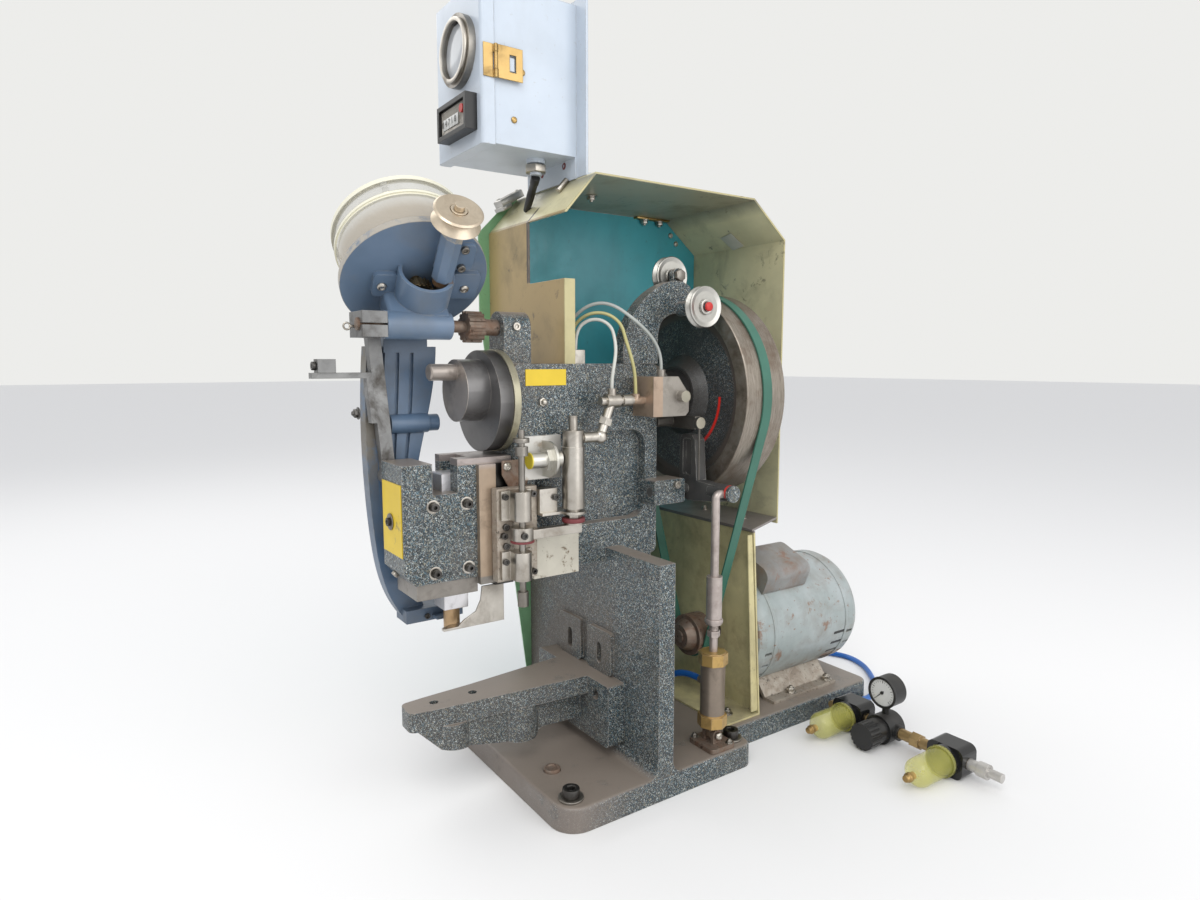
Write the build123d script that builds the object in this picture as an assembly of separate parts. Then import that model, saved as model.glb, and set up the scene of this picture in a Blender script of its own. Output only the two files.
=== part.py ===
"""Eyelet punch press, bench type, built at real size in millimetres.

The origin is the centre of the four hold-down holes, on the underside of the base.
+X is the operator's right, -Y is the front of the machine and +Z is up.
"""
from build123d import *
import math
import os

# Running clearance of a shaft in its bush, and the gap between parts that pass each other
FIT = 0.05
GAP = 0.4

# Base plate, motor bed and hold-down holes
BASE_HALF = 144
BASE_FRONT = -140
BASE_BACK = 135
BASE_T = 28
BASE_CORNER = 30
BED_STEP = 40
BED_HALF = BASE_HALF - BED_STEP
BED_END = 415
BED_CORNER = 16
BOLT_X = 120
BOLT_Y = 118
BOLT_HOLE_R = 6.5
PLUG_X = 59
PLUG_Y = -105
PLUG_R = 10

# Column plate that stands across the base, and the web behind it
PLATE_FRONT = -17
PLATE_T = 22
PLATE_TOP = 274
PLATE_FOOT = 14
WEB_HALF = 30
PAD_T = 5
PAD_W = 50
PAD_H = 54
PAD_GAP = 16
SLOT_W = 10
SLOT_H = 26

# Upper frame body
BODY_HALF = 40
BODY_FRONT = -138
BODY_BACK = 60
BODY_BOTTOM = 258
BODY_TOP = 493
POCKET_DEPTH = 14
POCKET_L = 155
POCKET_H = 108
POCKET_R = 20
POCKET_Y = -35.5
POCKET_Z = 360

# Lug for the hopper's shaft and ear for the clutch lever, both cast on the body
LUG_L = 34
LUG_R = 18
EAR_Y = 64
EAR_L = 48
EAR_H = 30
EAR_NEAR = 62
LEVER_PIN_R = 6

# Lower arm with its die holes
ARM_TOP = 118
ARM_FLANGE_HALF = 80
ARM_FLANGE_T = 24
ARM_FLANGE_BOTTOM = 43
ARM_DECK = 22
ARM_TIP_Y = -258
DIE_Y = -199
DIE_PITCH = 47
DIE_HOLE_R = 5
ARM_SCREW_X = 53
ARM_SCREW_Z = 101
ARM_SCREW_R = 6.5

# Crankshaft and its bushes
SHAFT_Z = 452
SHAFT_R = 22
BUSH_WALL = 8
BUSH_LENGTH = 70
BUSH_FLANGE_R = 57
BUSH_FLANGE_T = 8
REAR_BOSS_R = 40
REAR_BOSS_L = 24
DISC_R = 56
DISC_T = 16
ECC_R = 34
ECC_T = 27
ECC_RISE = 12
PIN_R = 9
PIN_RISE = 32
PIN_L = 30
COLLAR_R = 34
COLLAR_T = 28

# Flywheel, belt and motor
FLY_R = 131
FLY_FRONT = 124
FLY_W = 64
FLY_RIM = 19
FLY_WEB = 22
FLY_HUB_R = 44
BELT_T = 2
BELT_W = 14
BELT_SLACK = 0.3
MOTOR_X = 5
MOTOR_Z = 122
MOTOR_R = 82.5
MOTOR_WALL = 4
MOTOR_FRONT = 200
MOTOR_BACK = 410
BELL_L = 30
ROTOR_R = 44
MOTOR_SHAFT_R = 8
PULLEY_R = 28
PULLEY_W = 26
CRADLE_HUG = 46
CRADLE_HALF = 80
BOLT_SPREAD = 70

# Ram head
HEAD_NEAR = 33
HEAD_FAR = -27
HEAD_FRONT = -264
HEAD_BACK = -181
HEAD_BOTTOM = 263
HEAD_TOP = 386
NOTCH_FRONT = -231
NOTCH_BACK = -203
NOTCH_BOTTOM = 357
CAP_T = 7
GIB_T = 20
HEAD_PLATE_T = 17
HEAD_BRACKET_BOTTOM = 250
RAM_W = 28
RAM_BOTTOM = 225
RAM_TOP = 376
NOSE_R = 9
NOSE_L = 25
STRAP_BACK = -149
STRAP_DROP = 40

# Spotter: a guided rod worked by a small air cylinder
SIDE_X = 52
SIDE_FRONT = -167
SIDE_BACK = -118
SIDE_BOTTOM = 258
SIDE_TOP = 360
ROD_X = 66
ROD_Y = -144
ROD_R = 3.5
ROD_TOP = 424
ROD_BOTTOM = 232
CYL_Y = -79
CYL_R = 12.5
CYL_BOTTOM = 333
CYL_TOP = 420
LINK_Z = 312
LINK_T = 14
SPOT_PISTON_R = 4
SENSOR_X = 60
SENSOR_Z = 389
SENSOR_R = 9

# Clutch: lever, pull rod and upright air cylinder
LEVER_X = 52
LEVER_Z = 337
LEVER_FRONT = 98
LEVER_T = 16
LEVER_TOP = 405
PULL_X = 118
PULL_Y = 88
PULL_R = 5
BOSS_R = 10
CLEVIS_Z = 43
CLUTCH_R = 15
CLUTCH_BOTTOM = 54
CLUTCH_TOP = 147
FOOT_HALF = 19
FOOT_T = 6

VALVE_FRONT = 23
VALVE_BACK = 77
VALVE_W = 40
VALVE_Z = 431
VALVE_TOP = 478
LATCH_Z = 422
LATCH_Y = 88
LATCH_NEAR = 84

# Sheet guard round the flywheel
SHEET = 2.5
GUARD_NEAR = 40
GUARD_FAR = -BASE_HALF - 1
GUARD_FRONT = -73
GUARD_BACK = 281
GUARD_BOTTOM = 268
GUARD_SHOULDER = 660
GUARD_TOP = 708
GUARD_CUT_Z = 588
GUARD_CUT_X = -42
LOWER_Y = 193
LOWER_NEAR = 95

# Idler pulleys and the crescent bracket that holds them
BRACKET_X = 24
BRACKET_T = 18
IDLER_R = 24.5
IDLER_W = 12
IDLER_PIN_R = 5
IDLER_FAR = (15, 99, 602)
IDLER_NEAR = (84, 94, 560)

# Hopper, which hangs with the raceway on a level shaft
HANG_Z = 533
HANG_R = 6.5
HANG_FRONT = -294
TUBE_R = 14.5
TUBE_FRONT = -266
TUBE_BACK = -194.5
HOPPER_AT = (-7, -228, 580.5)
HOPPER_UP = (-0.6579, 0.0421, 0.7519)
HOPPER_SIDE = (0.746, -0.1001, 0.6584)
HOPPER_R = 77
HOPPER_T = 8
DRUM_R = 72
DRUM_WALL = 3
DRUM_H = 67
DRUM_LEDGE = 42
AGITATOR_R = 6
POST_BORE = 5
WORM_R = 6
WORM_L = 20
WORM_OFFSET = 21
WORM_DEPTH = 16
POST_R = 11.5
POST_FOOT = 20
POST_TOP = 88.6
CUP_R = 29
CUP_WALL = 4
CUP_ACROSS = 6.5
CUP_DEPTH = 10
CUP_FLOOR = 15.4
VEE_R = 24.5
VEE_W = 17
GEAR_R = 14.6
GEAR_T = 10
RACE_NEAR = -44
RACE_T = 18
BAR_NEAR = -29
BAR_T = 12
BAR_W = 14
BAR_PIVOT_Y = -254
BAR_PIVOT_Z = 372
HANG_CLAMP_Y = -268
SHELF_FRONT = -332
RACE_GROOVES = (18, 34, 50)
RACE_FRONT_EDGE = ((-270, 512), (-274, 440), (-273, 368), (-268, 300), (-256, 240), (-238, 206))
RACE_REAR_EDGE = ((-214, 216), (-224, 250), (-226, 320), (-212, 400), (-200, 450), (-192, 512))
SHOE_BACK = -172
SHOE_Z = 202

# Screw places, as Y and Z, on the head's near side and on the slide plate
HEAD_SCREWS = ((-231, 345), (-193, 345), (-230, 274), (-192, 275))
SIDE_SCREWS = ((-160, 309), (-124, 309), (-124, 352), (-124, 265))

# Control box on the guard
BOX_NEAR = 2
BOX_FAR = -114
BOX_FRONT = -137
BOX_BACK = -34
BOX_BOTTOM = 731
BOX_TOP = 898
DOOR_T = 16
BOX_WALL = 1.5
WINDOW_X = -46
WINDOW_R = 38
COUNTER_RISE = 14
COUNTER_H = 38
WINDOW_Z = BOX_BOTTOM + COUNTER_RISE + COUNTER_H + WINDOW_R + 15
HASP_LOW = BOX_BOTTOM + 67
HASP_HIGH = HASP_LOW + 34
KNUCKLE = 8

# Air set that lies beside the base, and the hose from it to the clutch
SET_Y = 320
SET_Z = 19
HEAD_R = 19
HEAD_L = 46
BOWL_R = 18
BOWL_L = 62
LUBRICATOR_X = 150
FILTER_X = 292
REGULATOR_X = 200
KNOB_R = 17
GAUGE_R = 20
PORT_R = 7
PORT_Z = 104
HOSE_R = 4
HOSE_POINTS = (
    (118, 331, 19), (118, 347, 19), (116, 373, 10), (113, 401, 4.3), (105, 428, 4.3), (88, 453, 4.3),
    (61, 480, 4.3), (30, 503, 4.3), (-5, 513, 4.3), (-38, 500, 4.3), (-67, 471, 4.3), (-93, 441, 4.3),
    (-112, 405, 4.3), (-117, 360, 4.3), (-115, 312, 4.3), (-117, 262, 4.3), (-116, 214, 6),
    (-115, 179, 17), (-111, 152, 34), (-98, 126, 40), (-76, 104, 33), (-47, 92, 33), (-16, 84, 40),
    (10, 82, 60), (34, 82, 84), (56, 84, 100), (78, 88, 104), (95, 88, 104),
)

# Thin tubes that rise from the fittings, cross over and go down to the block behind the guard's front
THIN_R = 2
BLOCK_TOP = 509
WHITE_TUBE = (
    (66, -26.5, 465), (66, -26.5, 476), (64, -22, 491), (58, -15, 507), (50, -11, 522), (47, -14, 536),
    (38.5, -22.5, 544), (28.5, -32.5, 544), (20, -41, 536), (17, -44, 522), (17, -44, 509),
)
YELLOW_TUBE = (
    (60, 12, 458), (60, 12, 469), (60, 10, 486), (58, 6, 503), (54, 2, 520), (50, -2, 540),
    (38, -14, 552), (23, -29, 552), (11, -41, 540), (7, -46, 521), (7, -46, 509),
)
GREY_TUBE = (
    (60, 50, 486), (60, 50, 497), (60, 45, 512), (60, 34, 526), (58, 20, 538), (54, 6, 549), (46, -6, 559),
    (34, -17, 564), (20, -28, 561), (8, -38, 550), (0, -45, 535), (-3, -46, 520), (-3, -46, 509),
)


def block(x0, x1, y0, y1, z0, z1):
    """A block between two opposite corners."""
    centre = Pos((x0 + x1) / 2, (y0 + y1) / 2, (z0 + z1) / 2)
    return centre * Box(x1 - x0, y1 - y0, z1 - z0)


def bar_x(y, z, r, x0, x1):
    """A round bar along X."""
    return Pos((x0 + x1) / 2, y, z) * Rot(0, 90, 0) * Cylinder(r, x1 - x0)


def bar_y(x, z, r, y0, y1):
    """A round bar along Y."""
    return Pos(x, (y0 + y1) / 2, z) * Rot(90, 0, 0) * Cylinder(r, y1 - y0)


def bar_z(x, y, r, z0, z1):
    """A round bar along Z."""
    return Pos(x, y, (z0 + z1) / 2) * Cylinder(r, z1 - z0)


def slab_x(sketch, x0, x1):
    """A sketch drawn in Y and Z, thickened from x0 to x1."""
    wall = Plane(origin=(x0, 0, 0), x_dir=(0, 1, 0), z_dir=(1, 0, 0))
    return extrude(wall * sketch, amount=x1 - x0, dir=(1, 0, 0))


def slab_y(sketch, y0, y1):
    """A sketch drawn in X and Z, thickened from y0 to y1."""
    wall = Plane(origin=(0, y0, 0), x_dir=(1, 0, 0), z_dir=(0, -1, 0))
    return extrude(wall * sketch, amount=y1 - y0, dir=(0, 1, 0))


def slab_z(sketch, z0, z1):
    """A sketch drawn in X and Y, thickened from z0 to z1."""
    return extrude(Pos(0, 0, z0) * sketch, amount=z1 - z0, dir=(0, 0, 1))


def shape(*points):
    """A closed outline with straight sides, turned so that its face looks up."""
    turn = sum(a[0] * b[1] - b[0] * a[1] for a, b in zip(points, points[1:] + points[:1]))
    if turn < 0:
        points = points[::-1]
    return Polygon(*points, align=None)


def base_plan():
    """Outline of the base from above, with the motor bed behind."""
    plan = Pos(0, (BASE_FRONT + BASE_BACK) / 2) * Rectangle(2 * BASE_HALF, BASE_BACK - BASE_FRONT)
    bed_length = BED_END - BASE_BACK + BASE_CORNER
    plan += Pos(0, BED_END - bed_length / 2) * Rectangle(2 * BED_HALF, bed_length)
    rows = plan.vertices().group_by(Axis.Y)
    plan = fillet(rows[1] + rows[-1], BED_CORNER)
    front_row = plan.vertices().group_by(Axis.Y)[0]
    return fillet(front_row, BASE_CORNER)


def frame_casting():
    """Base, column and upper body: one casting, shaped like a letter C from the side."""
    body = slab_z(base_plan(), 0, BASE_T)
    top_edges = body.edges().group_by(Axis.Z)[-1]
    body = fillet(top_edges, 4)

    plate_back = PLATE_FRONT + PLATE_T
    column = Pos((PLATE_FRONT + plate_back) / 2, (BASE_T + PLATE_TOP) / 2) * Rectangle(PLATE_T, PLATE_TOP - BASE_T)
    for side_y, turn in ((PLATE_FRONT, -1), (plate_back, 1)):
        corner = Pos(side_y + turn * PLATE_FOOT / 2, BASE_T + PLATE_FOOT / 2) * Rectangle(PLATE_FOOT, PLATE_FOOT)
        hollow = Pos(side_y + turn * PLATE_FOOT, BASE_T + PLATE_FOOT) * Circle(PLATE_FOOT)
        column += corner - hollow
    body += slab_x(column, -BASE_HALF, BASE_HALF)

    body += block(-WEB_HALF, WEB_HALF, PLATE_FRONT + 2, BODY_BACK, BASE_T, BODY_BOTTOM + 10)
    upper = Pos((BODY_FRONT + BODY_BACK) / 2, (BODY_BOTTOM + BODY_TOP) / 2)
    upper = upper * Rectangle(BODY_BACK - BODY_FRONT, BODY_TOP - BODY_BOTTOM)
    upper = fillet(upper.vertices(), 8)
    body += slab_x(upper, -BODY_HALF, BODY_HALF)
    pocket = Pos(POCKET_Y, POCKET_Z) * RectangleRounded(POCKET_L, POCKET_H, POCKET_R)
    body -= slab_x(pocket, BODY_HALF - POCKET_DEPTH, BODY_HALF)
    body -= slab_x(pocket, -BODY_HALF, -BODY_HALF + POCKET_DEPTH)

    for side in (-1, 1):
        pad_x = side * (PAD_GAP + PAD_W) / 2
        pad_z = ARM_TOP + PAD_H / 2
        pad = Pos(pad_x, pad_z) * RectangleRounded(PAD_W, PAD_H, 6)
        body += slab_y(pad, PLATE_FRONT - PAD_T, PLATE_FRONT)
        slot = Pos(pad_x, pad_z - 3) * SlotOverall(SLOT_H, SLOT_W, rotation=90)
        body -= slab_y(slot, PLATE_FRONT - PAD_T, plate_back)

    body += bar_y(0, SHAFT_Z, REAR_BOSS_R, BODY_BACK, BODY_BACK + REAR_BOSS_L)
    lug_back = BODY_FRONT + LUG_L
    lug = Pos(0, (BODY_TOP + HANG_Z) / 2 - 5) * Rectangle(2 * LUG_R, HANG_Z - BODY_TOP + 10)
    lug += Pos(0, HANG_Z) * Circle(LUG_R)
    body += slab_y(lug, BODY_FRONT, lug_back)
    body -= bar_y(0, HANG_Z, HANG_R, BODY_FRONT, lug_back)

    ear = Pos(EAR_Y, LEVER_Z) * RectangleRounded(EAR_L, EAR_H, 4)
    body += slab_x(ear, WEB_HALF, EAR_NEAR)
    body -= bar_y(LEVER_X, LEVER_Z, LEVER_PIN_R, EAR_Y - EAR_L / 2, EAR_Y + EAR_L / 2)

    body -= bar_y(0, SHAFT_Z, SHAFT_R + BUSH_WALL, BODY_FRONT, BODY_BACK + REAR_BOSS_L)
    body -= bar_z(PLUG_X, PLUG_Y, PLUG_R, BASE_T - 6, BASE_T)
    for hole_x in (-BOLT_X, BOLT_X):
        for hole_y in (-BOLT_Y, BOLT_Y):
            body -= bar_z(hole_x, hole_y, BOLT_HOLE_R, 0, BASE_T)
    return body


def lower_arm():
    """Bolted arm under the ram: a level deck, a deep rounded body beneath it and a wide flange."""
    flange_front = PLATE_FRONT - ARM_FLANGE_T
    deck_bottom = ARM_TOP - ARM_DECK
    near = ARM_FLANGE_HALF
    outline = shape(
        (-36, flange_front + 1), (-22, -168), (-18, -230), (-15, ARM_TIP_Y + 2),
        (15, ARM_TIP_Y + 2), (19, -230), (36, flange_front + 1),
    )
    outline = fillet(outline.vertices().sort_by(Axis.Y)[0:2], 8)
    arm = slab_z(outline, deck_bottom, ARM_TOP)
    nose = outline & Pos(0, ARM_TIP_Y + 29) * Rectangle(90, 58)
    plan = nose + Pos(3, DIE_Y - 6) * Circle(23) + Pos(6, -120) * Circle(24)
    plan += Pos(3, -122) * Rectangle(34, 166)
    side = shape(
        (flange_front + 1, deck_bottom + 2), (flange_front + 1, 60), (-95, 62), (-110, 55), (-135, 55),
        (-190, 66), (-222, 70), (ARM_TIP_Y + 8, deck_bottom + 2),
    )
    arm += slab_z(plan, ARM_FLANGE_BOTTOM, deck_bottom + 1) & slab_x(side, -near, near)
    flange = Pos(0, (ARM_FLANGE_BOTTOM + ARM_TOP) / 2) * RectangleRounded(2 * near, ARM_TOP - ARM_FLANGE_BOTTOM, 5)
    arm += slab_y(flange, flange_front, PLATE_FRONT)
    for screw_x in (-ARM_SCREW_X, ARM_SCREW_X):
        arm -= bar_y(screw_x, ARM_SCREW_Z, ARM_SCREW_R, flange_front, flange_front + ARM_FLANGE_T / 2)
    for offset in (-DIE_PITCH / 2, DIE_PITCH / 2):
        arm -= bar_z(0, DIE_Y + offset, DIE_HOLE_R, 0, ARM_TOP)
    return arm


def shaft_bushes():
    """Front bush with a wide face ring, and a plain rear bush."""
    outer = SHAFT_R + BUSH_WALL
    inner = SHAFT_R + FIT
    front = bar_y(0, SHAFT_Z, outer, BODY_FRONT, BODY_FRONT + BUSH_LENGTH)
    front += bar_y(0, SHAFT_Z, BUSH_FLANGE_R, BODY_FRONT - BUSH_FLANGE_T, BODY_FRONT)
    front -= bar_y(0, SHAFT_Z, inner, BODY_FRONT - BUSH_FLANGE_T, BODY_FRONT + BUSH_LENGTH)
    boss_back = BODY_BACK + REAR_BOSS_L
    rear = bar_y(0, SHAFT_Z, outer, boss_back - BUSH_LENGTH, boss_back)
    rear -= bar_y(0, SHAFT_Z, inner, boss_back - BUSH_LENGTH, boss_back)
    return Part() + [front, rear]


def crankshaft():
    """Shaft with its stepped crank discs and pin, and the clutch collar behind the frame."""
    disc_back = BODY_FRONT - BUSH_FLANGE_T - GAP
    disc_front = disc_back - DISC_T
    ecc_front = disc_front - ECC_T
    shaft = bar_y(0, SHAFT_Z, SHAFT_R, disc_back, FLY_FRONT + FLY_W + 14)
    shaft += bar_y(0, SHAFT_Z, DISC_R, disc_front, disc_back)
    shaft += bar_y(0, SHAFT_Z + ECC_RISE, ECC_R, ecc_front, disc_front)
    shaft += bar_y(0, SHAFT_Z + PIN_RISE, PIN_R, ecc_front - PIN_L, ecc_front)
    pin_end = shaft.faces().sort_by(Axis.Y)[0]
    shaft = chamfer(pin_end.edges(), 1.5)
    collar_back = FLY_FRONT - 4
    collar = bar_y(0, SHAFT_Z, COLLAR_R, collar_back - COLLAR_T, collar_back)
    collar -= bar_y(0, SHAFT_Z, SHAFT_R, collar_back - COLLAR_T, collar_back)
    collar -= block(-5, 5, collar_back - 10, collar_back, SHAFT_Z + SHAFT_R + 4, SHAFT_Z + COLLAR_R)
    return Part() + [shaft, collar]


def flywheel():
    """Heavy rim, dished web and hub, turned about the crankshaft's axis."""
    back = FLY_FRONT + FLY_W
    web_front = FLY_FRONT + 10
    web_back = web_front + FLY_WEB
    inner = FLY_R - FLY_RIM
    half = shape(
        (SHAFT_R + FIT, FLY_FRONT - 3), (FLY_HUB_R - 6, FLY_FRONT - 3), (FLY_HUB_R, FLY_FRONT + 2),
        (FLY_HUB_R + 8, web_front), (inner - 6, web_front), (inner, FLY_FRONT), (FLY_R - 1, FLY_FRONT),
        (FLY_R, FLY_FRONT + 1), (FLY_R, back - 1), (FLY_R - 1, back), (inner, back),
        (inner - 6, web_back), (FLY_HUB_R + 4, web_back), (FLY_HUB_R - 4, back + 2), (SHAFT_R + FIT, back + 2),
    )
    wheel = revolve(Plane.XY * half, axis=Axis.Y)
    return Pos(0, 0, SHAFT_Z) * wheel


def motor_pulley_y():
    """Front face of the motor pulley, set so that the belt runs true on the flywheel."""
    return FLY_FRONT + FLY_W / 2 - PULLEY_W / 2


def drive_belt():
    """Flat belt round the flywheel rim and the motor pulley."""
    big = FLY_R + BELT_SLACK
    small = PULLEY_R + BELT_SLACK
    outer = make_hull(belt_circles(big + BELT_T, small + BELT_T).edges())
    inner = make_hull(belt_circles(big, small).edges())
    middle = FLY_FRONT + FLY_W / 2
    return slab_y(outer - inner, middle - BELT_W / 2, middle + BELT_W / 2)


def belt_circles(big, small):
    """The two circles that the belt runs round."""
    return Pos(0, SHAFT_Z) * Circle(big) + Pos(MOTOR_X, MOTOR_Z) * Circle(small)


def motor_rotor():
    """Rotor core, shaft and stepped pulley."""
    start = motor_pulley_y()
    rotor = bar_y(MOTOR_X, MOTOR_Z, MOTOR_SHAFT_R, start - 14, MOTOR_BACK - 12)
    rotor += bar_y(MOTOR_X, MOTOR_Z, ROTOR_R, MOTOR_FRONT + 50, MOTOR_BACK - 55)
    rotor += bar_y(MOTOR_X, MOTOR_Z, PULLEY_R, start, start + PULLEY_W)
    cone = Pos(MOTOR_X, start - 6, MOTOR_Z) * Rot(90, 0, 0) * Cone(PULLEY_R - 6, PULLEY_R - 12, 12)
    return rotor + cone


def motor_shell():
    """Rolled steel shell with the wound stator pressed into it."""
    shell_front = MOTOR_FRONT + BELL_L
    shell_back = MOTOR_BACK - BELL_L
    inner = MOTOR_R - MOTOR_WALL
    shell = bar_y(MOTOR_X, MOTOR_Z, MOTOR_R, shell_front, shell_back)
    shell -= bar_y(MOTOR_X, MOTOR_Z, inner, shell_front, shell_back)
    stator = bar_y(MOTOR_X, MOTOR_Z, inner, shell_front + 10, shell_back - 15)
    stator -= bar_y(MOTOR_X, MOTOR_Z, ROTOR_R + 0.6, shell_front + 10, shell_back - 15)
    return shell + stator


def motor_bell(sign):
    """One end bell as a turned cup, with its bearing boss and vent slots."""
    face = shape(
        (MOTOR_SHAFT_R + FIT, 0), (MOTOR_R - 14, 0), (MOTOR_R - 4, 5), (MOTOR_R, 14), (MOTOR_R, BELL_L),
        (MOTOR_R - MOTOR_WALL, BELL_L), (MOTOR_R - MOTOR_WALL, 16), (MOTOR_R - 16, 5),
        (24, 5), (20, 20), (MOTOR_SHAFT_R + FIT, 20),
    )
    cup = revolve(Plane.XY * face, axis=Axis.Y)
    for step in range(5):
        angle = -70 + 14 * step
        slot = Rot(0, -angle, 0) * block(MOTOR_R - 8, MOTOR_R + 2, 14, 27, -2, 2)
        cup -= slot
    if sign > 0:
        return Pos(MOTOR_X, MOTOR_FRONT, MOTOR_Z) * cup
    return Pos(MOTOR_X, MOTOR_BACK, MOTOR_Z) * mirror(cup, about=Plane.XZ)


def capacitor_cover():
    """Rounded cover on the motor's upper near side."""
    outline = fillet(Rectangle(70, 44).vertices(), 14)
    cover = slab_y(outline, 0, 92)
    cover = fillet(cover.edges().group_by(Axis.Y)[-1], 10)
    cover = Pos(MOTOR_X, MOTOR_FRONT + 26, MOTOR_Z) * Rot(0, 22, 0) * Pos(0, 0, MOTOR_R + 6) * cover
    return cover - bar_y(MOTOR_X, MOTOR_Z, MOTOR_R, MOTOR_FRONT, MOTOR_BACK)


def motor_cradle():
    """Pressed foot plate that hugs the motor from below and bolts to the bed."""
    sheet = 4
    foot_top = BASE_T + sheet - MOTOR_Z
    low = BASE_T - MOTOR_Z
    half = CRADLE_HUG
    side_z = -math.sqrt(MOTOR_R ** 2 - half ** 2)
    outline = shape(
        (-CRADLE_HALF, low), (-half - 14, low), (-half + 2, side_z - 7), (half - 2, side_z - 7),
        (half + 14, low), (CRADLE_HALF, low), (CRADLE_HALF, foot_top), (half + 17, foot_top),
        (half, side_z), (half, side_z + 12), (-half, side_z + 12), (-half, side_z),
        (-half - 17, foot_top), (-CRADLE_HALF, foot_top),
    )
    outline -= Circle(MOTOR_R)
    outline += Circle(MOTOR_R + sheet) & (Pos(0, side_z - 8) * Rectangle(2 * half, 16)) - Circle(MOTOR_R)
    cradle = slab_y(Pos(MOTOR_X, MOTOR_Z) * outline, MOTOR_FRONT + 34, MOTOR_FRONT + 162)
    for turn in (-1, 1):
        for hole_y in (MOTOR_FRONT + 78, MOTOR_FRONT + 154):
            cradle -= bar_z(MOTOR_X + turn * BOLT_SPREAD, hole_y, 4.5, BASE_T, BASE_T + 2 * sheet)
    return cradle


def guard_outline(inset):
    """Flat-topped guard profile seen from the side, pulled in by a wall thickness."""
    slope = inset * 0.414
    return shape(
        (GUARD_FRONT + inset, GUARD_BOTTOM - 100), (GUARD_FRONT + inset, GUARD_SHOULDER - slope),
        (-31 + slope, GUARD_TOP - inset), (221 - slope, GUARD_TOP - inset),
        (GUARD_BACK - inset, GUARD_SHOULDER - slope), (GUARD_BACK - inset, GUARD_BOTTOM - 100),
    )


def guard_shell():
    """Folded sheet guard, open towards the operator's right, with its front cut back."""
    shell = slab_x(guard_outline(0) - guard_outline(SHEET), GUARD_FAR, GUARD_NEAR)
    shell -= block(GUARD_FAR, GUARD_NEAR, 0, GUARD_BACK, 0, GUARD_BOTTOM)
    shell -= block(GUARD_FAR, GUARD_CUT_X, GUARD_FRONT, 0, 0, 400)
    shell -= block(GUARD_CUT_X, GUARD_NEAR, GUARD_FRONT, 0, 0, BODY_TOP)
    shell -= block(GUARD_CUT_X, GUARD_NEAR, GUARD_FRONT, GUARD_FRONT + 8, GUARD_CUT_Z, GUARD_SHOULDER)
    lip = block(GUARD_NEAR - SHEET, GUARD_NEAR, GUARD_FRONT, GUARD_FRONT + 14, BODY_TOP, GUARD_CUT_Z)
    return shell + lip


def guard_back_panel():
    """Teal panel that closes the guard's far side and runs down behind the belt."""
    thick = 2
    panel = guard_outline(SHEET + GAP)
    panel -= Pos(-60, 300) * Rectangle(140, 330)
    panel += Pos(112, 160) * Rectangle(160, 260)
    return slab_x(panel, GUARD_FAR, GUARD_FAR + thick)


def side_post():
    """Tall green sheet post at the far side, bolted to the column and to the guard."""
    thick = 2
    post_x = GUARD_FAR
    flat = shape(
        (-88, 560), (-20, BASE_T + 2), (12, BASE_T + 2), (12, 250), (-70, 560), (-70, GUARD_SHOULDER),
        (-31, GUARD_TOP), (-36, GUARD_TOP + 5), (-88, GUARD_SHOULDER),
    )
    wall = slab_x(flat, post_x - thick, post_x)
    slot = Pos(-4, 78) * SlotOverall(30, 9, rotation=90)
    wall -= slab_x(slot, post_x - thick, post_x)
    pad = block(post_x, -BASE_HALF, PLATE_FRONT + 2, PLATE_FRONT + PLATE_T - 2, 110, 230)
    return wall + pad


def lower_guard():
    """Sheet behind the belt with its foot flange, and the shelf that joins it to the guard above."""
    shelf_z = GUARD_BOTTOM + 6
    far = GUARD_FAR + 5
    wall = shape((far, BASE_T), (LOWER_NEAR, BASE_T), (LOWER_NEAR - 16, shelf_z), (far, shelf_z))
    wall -= Pos(MOTOR_X, MOTOR_Z) * Circle(MOTOR_SHAFT_R + 8)
    sheet = slab_y(wall, LOWER_Y, LOWER_Y + SHEET)
    sheet += block(far, LOWER_NEAR, LOWER_Y - 60, LOWER_Y, BASE_T, BASE_T + SHEET)
    sheet -= block(GUARD_FAR, -BED_HALF, LOWER_Y - 60, LOWER_Y + SHEET, 0, BASE_T + 40)
    front = LOWER_Y - 3
    plan = shape(
        (GUARD_FAR + 3, front), (LOWER_NEAR - 16, front),
        (GUARD_NEAR, GUARD_BACK - SHEET - GAP), (GUARD_FAR + 3, GUARD_BACK - SHEET - GAP),
    )
    return Part() + [sheet, slab_z(plan, shelf_z, shelf_z + 3)]


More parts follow.
